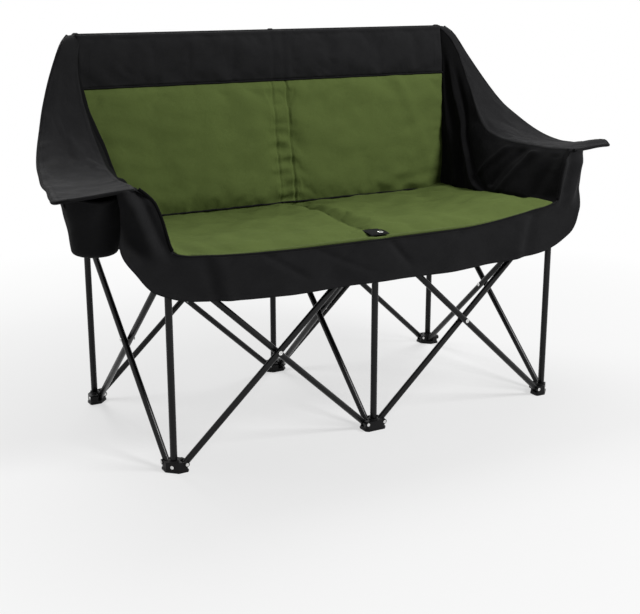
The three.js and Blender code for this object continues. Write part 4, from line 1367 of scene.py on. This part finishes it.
def add_wall(side):
    u, v = even_grid(96, 50)
    plane = wall_points(u, v, side)
    folds = sum(height * crease(u, v, top, foot, width) for height, top, foot, width in WALL_FOLDS)
    folds += rumple(plane, *WALL_WAVES, WALL_SEEDS[side]) + rumple(plane, *WALL_PUCKER, WALL_SEEDS[side])
    folds *= held_in((v, 8), (u, 10))
    face = filled_out(plane + normals(plane, LEFTWARD) * folds[..., None], push=0.0, cap=0.006)
    back = face + normals(face, RIGHTWARD) * WALL_THICK
    face, back = pulled(handed(face, side)), pulled(handed(back, side))
    # The wall gets the darkened black cloth: painted shade
    wall = soft(shell(f"{side}_wall_cloth", face, back), shaded_wall_cloth, f"{side}_wall", f"{side}_side_wall")


# Front skirt

def edge_line(spots):
    """Rows of share along the line, x and z."""
    spots = np.array(spots)
    gone = gone_along(spots)
    return np.c_[gone / gone[-1], spots]


def skirt_folds(plane, v):
    """How far the skirt's sway, creases and gathers go back at each point."""
    x, z = plane[..., 0], plane[..., 2]
    sway = rumple(plane, *SKIRT_WAVES) * (1 - 0.6 * v) + rumple(plane, *SKIRT_PUCKER)
    for start, lean, deep in SKIRT_CREASES:
        sway += deep * bell(x - start - lean * (0.47 - z), 0.011) * ease((z - 0.385) / 0.04)
    for place, deep, width in SKIRT_GATHERS:
        sway += deep * bell(abs(x) - place - 0.25 * (z - 0.42), width) * ease((0.53 - z) / 0.04)
    return sway * ease(6 * (1 - v))


def add_skirt():
    u, v = even_grid(241, 17)
    s = abs(2 * u - 1)
    side = np.sign(2 * u - 1)
    outer = through(edge_line(SKIRT_OUTER), s)
    inner = through(edge_line(SKIRT_INNER), s)
    outer[..., 0] += LEFT_STRIP_WIDER * bell(outer[..., 1] - 0.500, 0.046) * (side < 0)
    x = side * mix(outer[..., 0], inner[..., 0], v)
    z = mix(outer[..., 1], inner[..., 1], v)
    plane = stack(x, skirt_y(z), z)
    strip = ease((z - 0.47) / 0.06)
    past = abs(x) - (BAY + PIVOT_INSET + (z - HIGH_PIVOT) * math.tan(ARM_LEAN))
    wrap = STRIP_WRAP * ease((past - 0.006) / 0.03) - STRIP_BULGE * bell(past, 0.012)
    wrap += STRIP_VALLEY * bell(past + 0.026, 0.009)
    hem = SKIRT_HEM * ease((0.13 - v) / 0.05)
    y = skirt_y(z) + strip * wrap + skirt_folds(plane, v) * (1 - strip) - hem
    face = pulled(stack(x, y, z))
    out = normals(face, FORWARD)
    back = face - out * SKIRT_CLOTH
    skirt = shell("front_skirt_cloth", face, back)
    rows = [(face[2:-2, row], out[2:-2, row]) for row in (2, -2)]
    thread = soft(stitches("skirt_stitching", rows), black_thread, "skirt")
    edge = 0.5 * (face[:, -1] + back[:, -1])
    edge_x = x[:, -1]
    far_out = abs(edge_x) > STRIP_X
    rolls = [soft(piping("seat_front_piping", edge[~far_out], FINE_ROLL_R), black_tape, "skirt")]
    # The strips' rolled inner edges take the darkened side cloth: painted shade along them
    for way, name in ((-1, "left_strip_piping_painted_shade"), (1, "right_strip_piping_painted_shade")):
        line = edge[far_out & (way * edge_x > 0)] + np.array([0, 0.0015, 0])
        rolls.append(soft(piping(name, line, FULL_ROLL_R), shaded_wall_cloth, "skirt"))
    soft(skirt, black_cloth, "skirt", "front_skirt")


# Pouch for a drink, under the armrest at -X

def pouch_points(angle, fall):
    lower = np.clip((fall - CUP_ROUND) / (1 - CUP_ROUND), 0, 1)
    radius = mix(CUP_TOP_R, CUP_BOTTOM_R, np.minimum(fall / CUP_ROUND, 1))
    radius = radius - 0.017 * (1 - np.sqrt(np.maximum(0, 1 - lower ** 2)))
    radius *= 1 + 0.035 * np.cos(4 * angle + 0.6) * (1 - fall)
    radius *= 1 + 0.022 * np.sin(3 * angle + 4 * fall) * np.sin(math.pi * fall)
    z = CUP_TOP - (CUP_TOP - CUP_BOTTOM) * mix(fall, ease(fall), 0.2)
    z = z - 0.005 * bell(fall, 0.1) * np.cos(2 * angle) ** 2
    spots = stack(CUP_X + radius * np.cos(angle), CUP_Y + radius * np.sin(angle), z)
    dents = rumple(spots, *CUP_DENTS) * np.sin(math.pi * fall)
    return spots + normals(spots) * dents[..., None]


def add_pouch():
    angle, fall = grid(np.linspace(0, 2 * math.pi, 73)[:-1], np.linspace(0, 1, 26))
    spots = pouch_points(angle, fall)
    pouch = soft(loft("cup_pouch", spots, CUP_CLOTH), black_cloth, "left_arm", "cup_holder")
    sewn_on = [soft(piping("cup_pouch_rim", closed(spots[:, 0]), CUP_ROLL_R), black_tape, "left_arm")]
    u, v = even_grid(8, 9)
    for way, name, top in ((-1, "cup_pouch_outer_strap", 0.624), (1, "cup_pouch_inner_strap", 0.628)):
        x = CUP_X + way * (CUP_TOP_R - 0.003 + 0.004 * np.sin(math.pi * v))
        front = stack(x, CUP_Y + (u - 0.5) * STRAP_WIDTH, mix(CUP_TOP - STRAP_DROP, top, v))
        back = front - np.array([way * STRAP_THICK, 0, 0])
        sewn_on.append(soft(shell(name, front, back), black_tape, "left_arm"))


# Floor, light and camera

FLOOR_GREY = (0.60, 0.60, 0.60)
FLOOR_SIZE = 80
WORLD_LIGHT = 0.24
CAMERA_PLACE = (-1.443, -2.523, 1.054)
CAMERA_DOWN = 15.61
CAMERA_TURN = -29.77
CAMERA_LENS = 66.52


def seen_ray(tree):
    """1 for what the camera sees, straight or by way of metal or glass."""
    path = node(tree, "ShaderNodeLightPath")
    seen = maths(tree, "MAXIMUM", path.outputs["Is Camera Ray"], path.outputs["Is Glossy Ray"])
    return maths(tree, "MAXIMUM", seen, path.outputs["Is Transmission Ray"])


def add_floor():
    """A pale floor that keeps the shadow and turns white away from the part."""
    only()
    bpy.ops.mesh.primitive_plane_add(size=FLOOR_SIZE, location=(0, 0, 0))
    floor = bpy.context.object
    floor.name = "floor"
    made, tree, shader = blank("pale floor", FLOOR_GREY, 0.9)
    place = node(tree, "ShaderNodeTexCoord").outputs["Object"]
    away = node(tree, "ShaderNodeVectorMath", {0: place}, operation="LENGTH").outputs["Value"]
    far = ramp(tree, away, 0.5, 2.0, 0.6, 1.0)
    white = node(tree, "ShaderNodeEmission", {"Color": (1, 1, 1, 1), "Strength": 1.0})
    inputs = {0: times(tree, far, seen_ray(tree)), 1: shader.outputs[0], 2: white.outputs[0]}
    surface = node(tree, "ShaderNodeMixShader", inputs)
    tree.links.new(surface.outputs[0], tree.nodes["Material Output"].inputs["Surface"])
    floor.data.materials.append(made)


def add_world():
    world = bpy.data.worlds.new("studio")
    scene.world = world
    world.use_nodes = True
    tree = world.node_tree
    lit = tree.nodes["Background"]
    lit.inputs["Color"].default_value = (1, 1, 1, 1)
    tree.links.new(blend(tree, seen_ray(tree), WORLD_LIGHT, 1.0), lit.inputs["Strength"])


def add_lamp(name, place, towards, size, energy):
    data = bpy.data.lights.new(name, "AREA")
    lamp = added(name, set_all(data, {"shape": "DISK", "size": size, "energy": energy}))
    lamp.location = place
    lamp.rotation_euler = (Vector(towards) - Vector(place)).to_track_quat("-Z", "Y").to_euler()


def add_camera():
    data = bpy.data.cameras.new("camera")
    camera = added("camera", set_all(data, {"sensor_width": 36, "lens": CAMERA_LENS, "clip_end": 200}))
    camera.location = CAMERA_PLACE
    camera.rotation_euler = (math.radians(90 - CAMERA_DOWN), 0, math.radians(CAMERA_TURN))
    scene.camera = camera


add_camera()
add_floor()
add_world()
add_lamp("key", (1.55, -2.0, 2.9), (0, 0, 0.6), size=1.2, energy=108)
add_lamp("rear", (-0.3, 1.7, 2.7), (0, 0, 0.5), size=1.6, energy=62)
scene.view_settings.view_transform = "Standard"

add_tubes()
add_mouldings()
add_cross_rivets()
add_seat()
add_sling()
add_tab()
add_back()
add_lining()
add_top_band()
add_post_pockets()
for side in ("left", "right"):
    add_flap(side)
    add_wall(side)
add_skirt()
add_pouch()
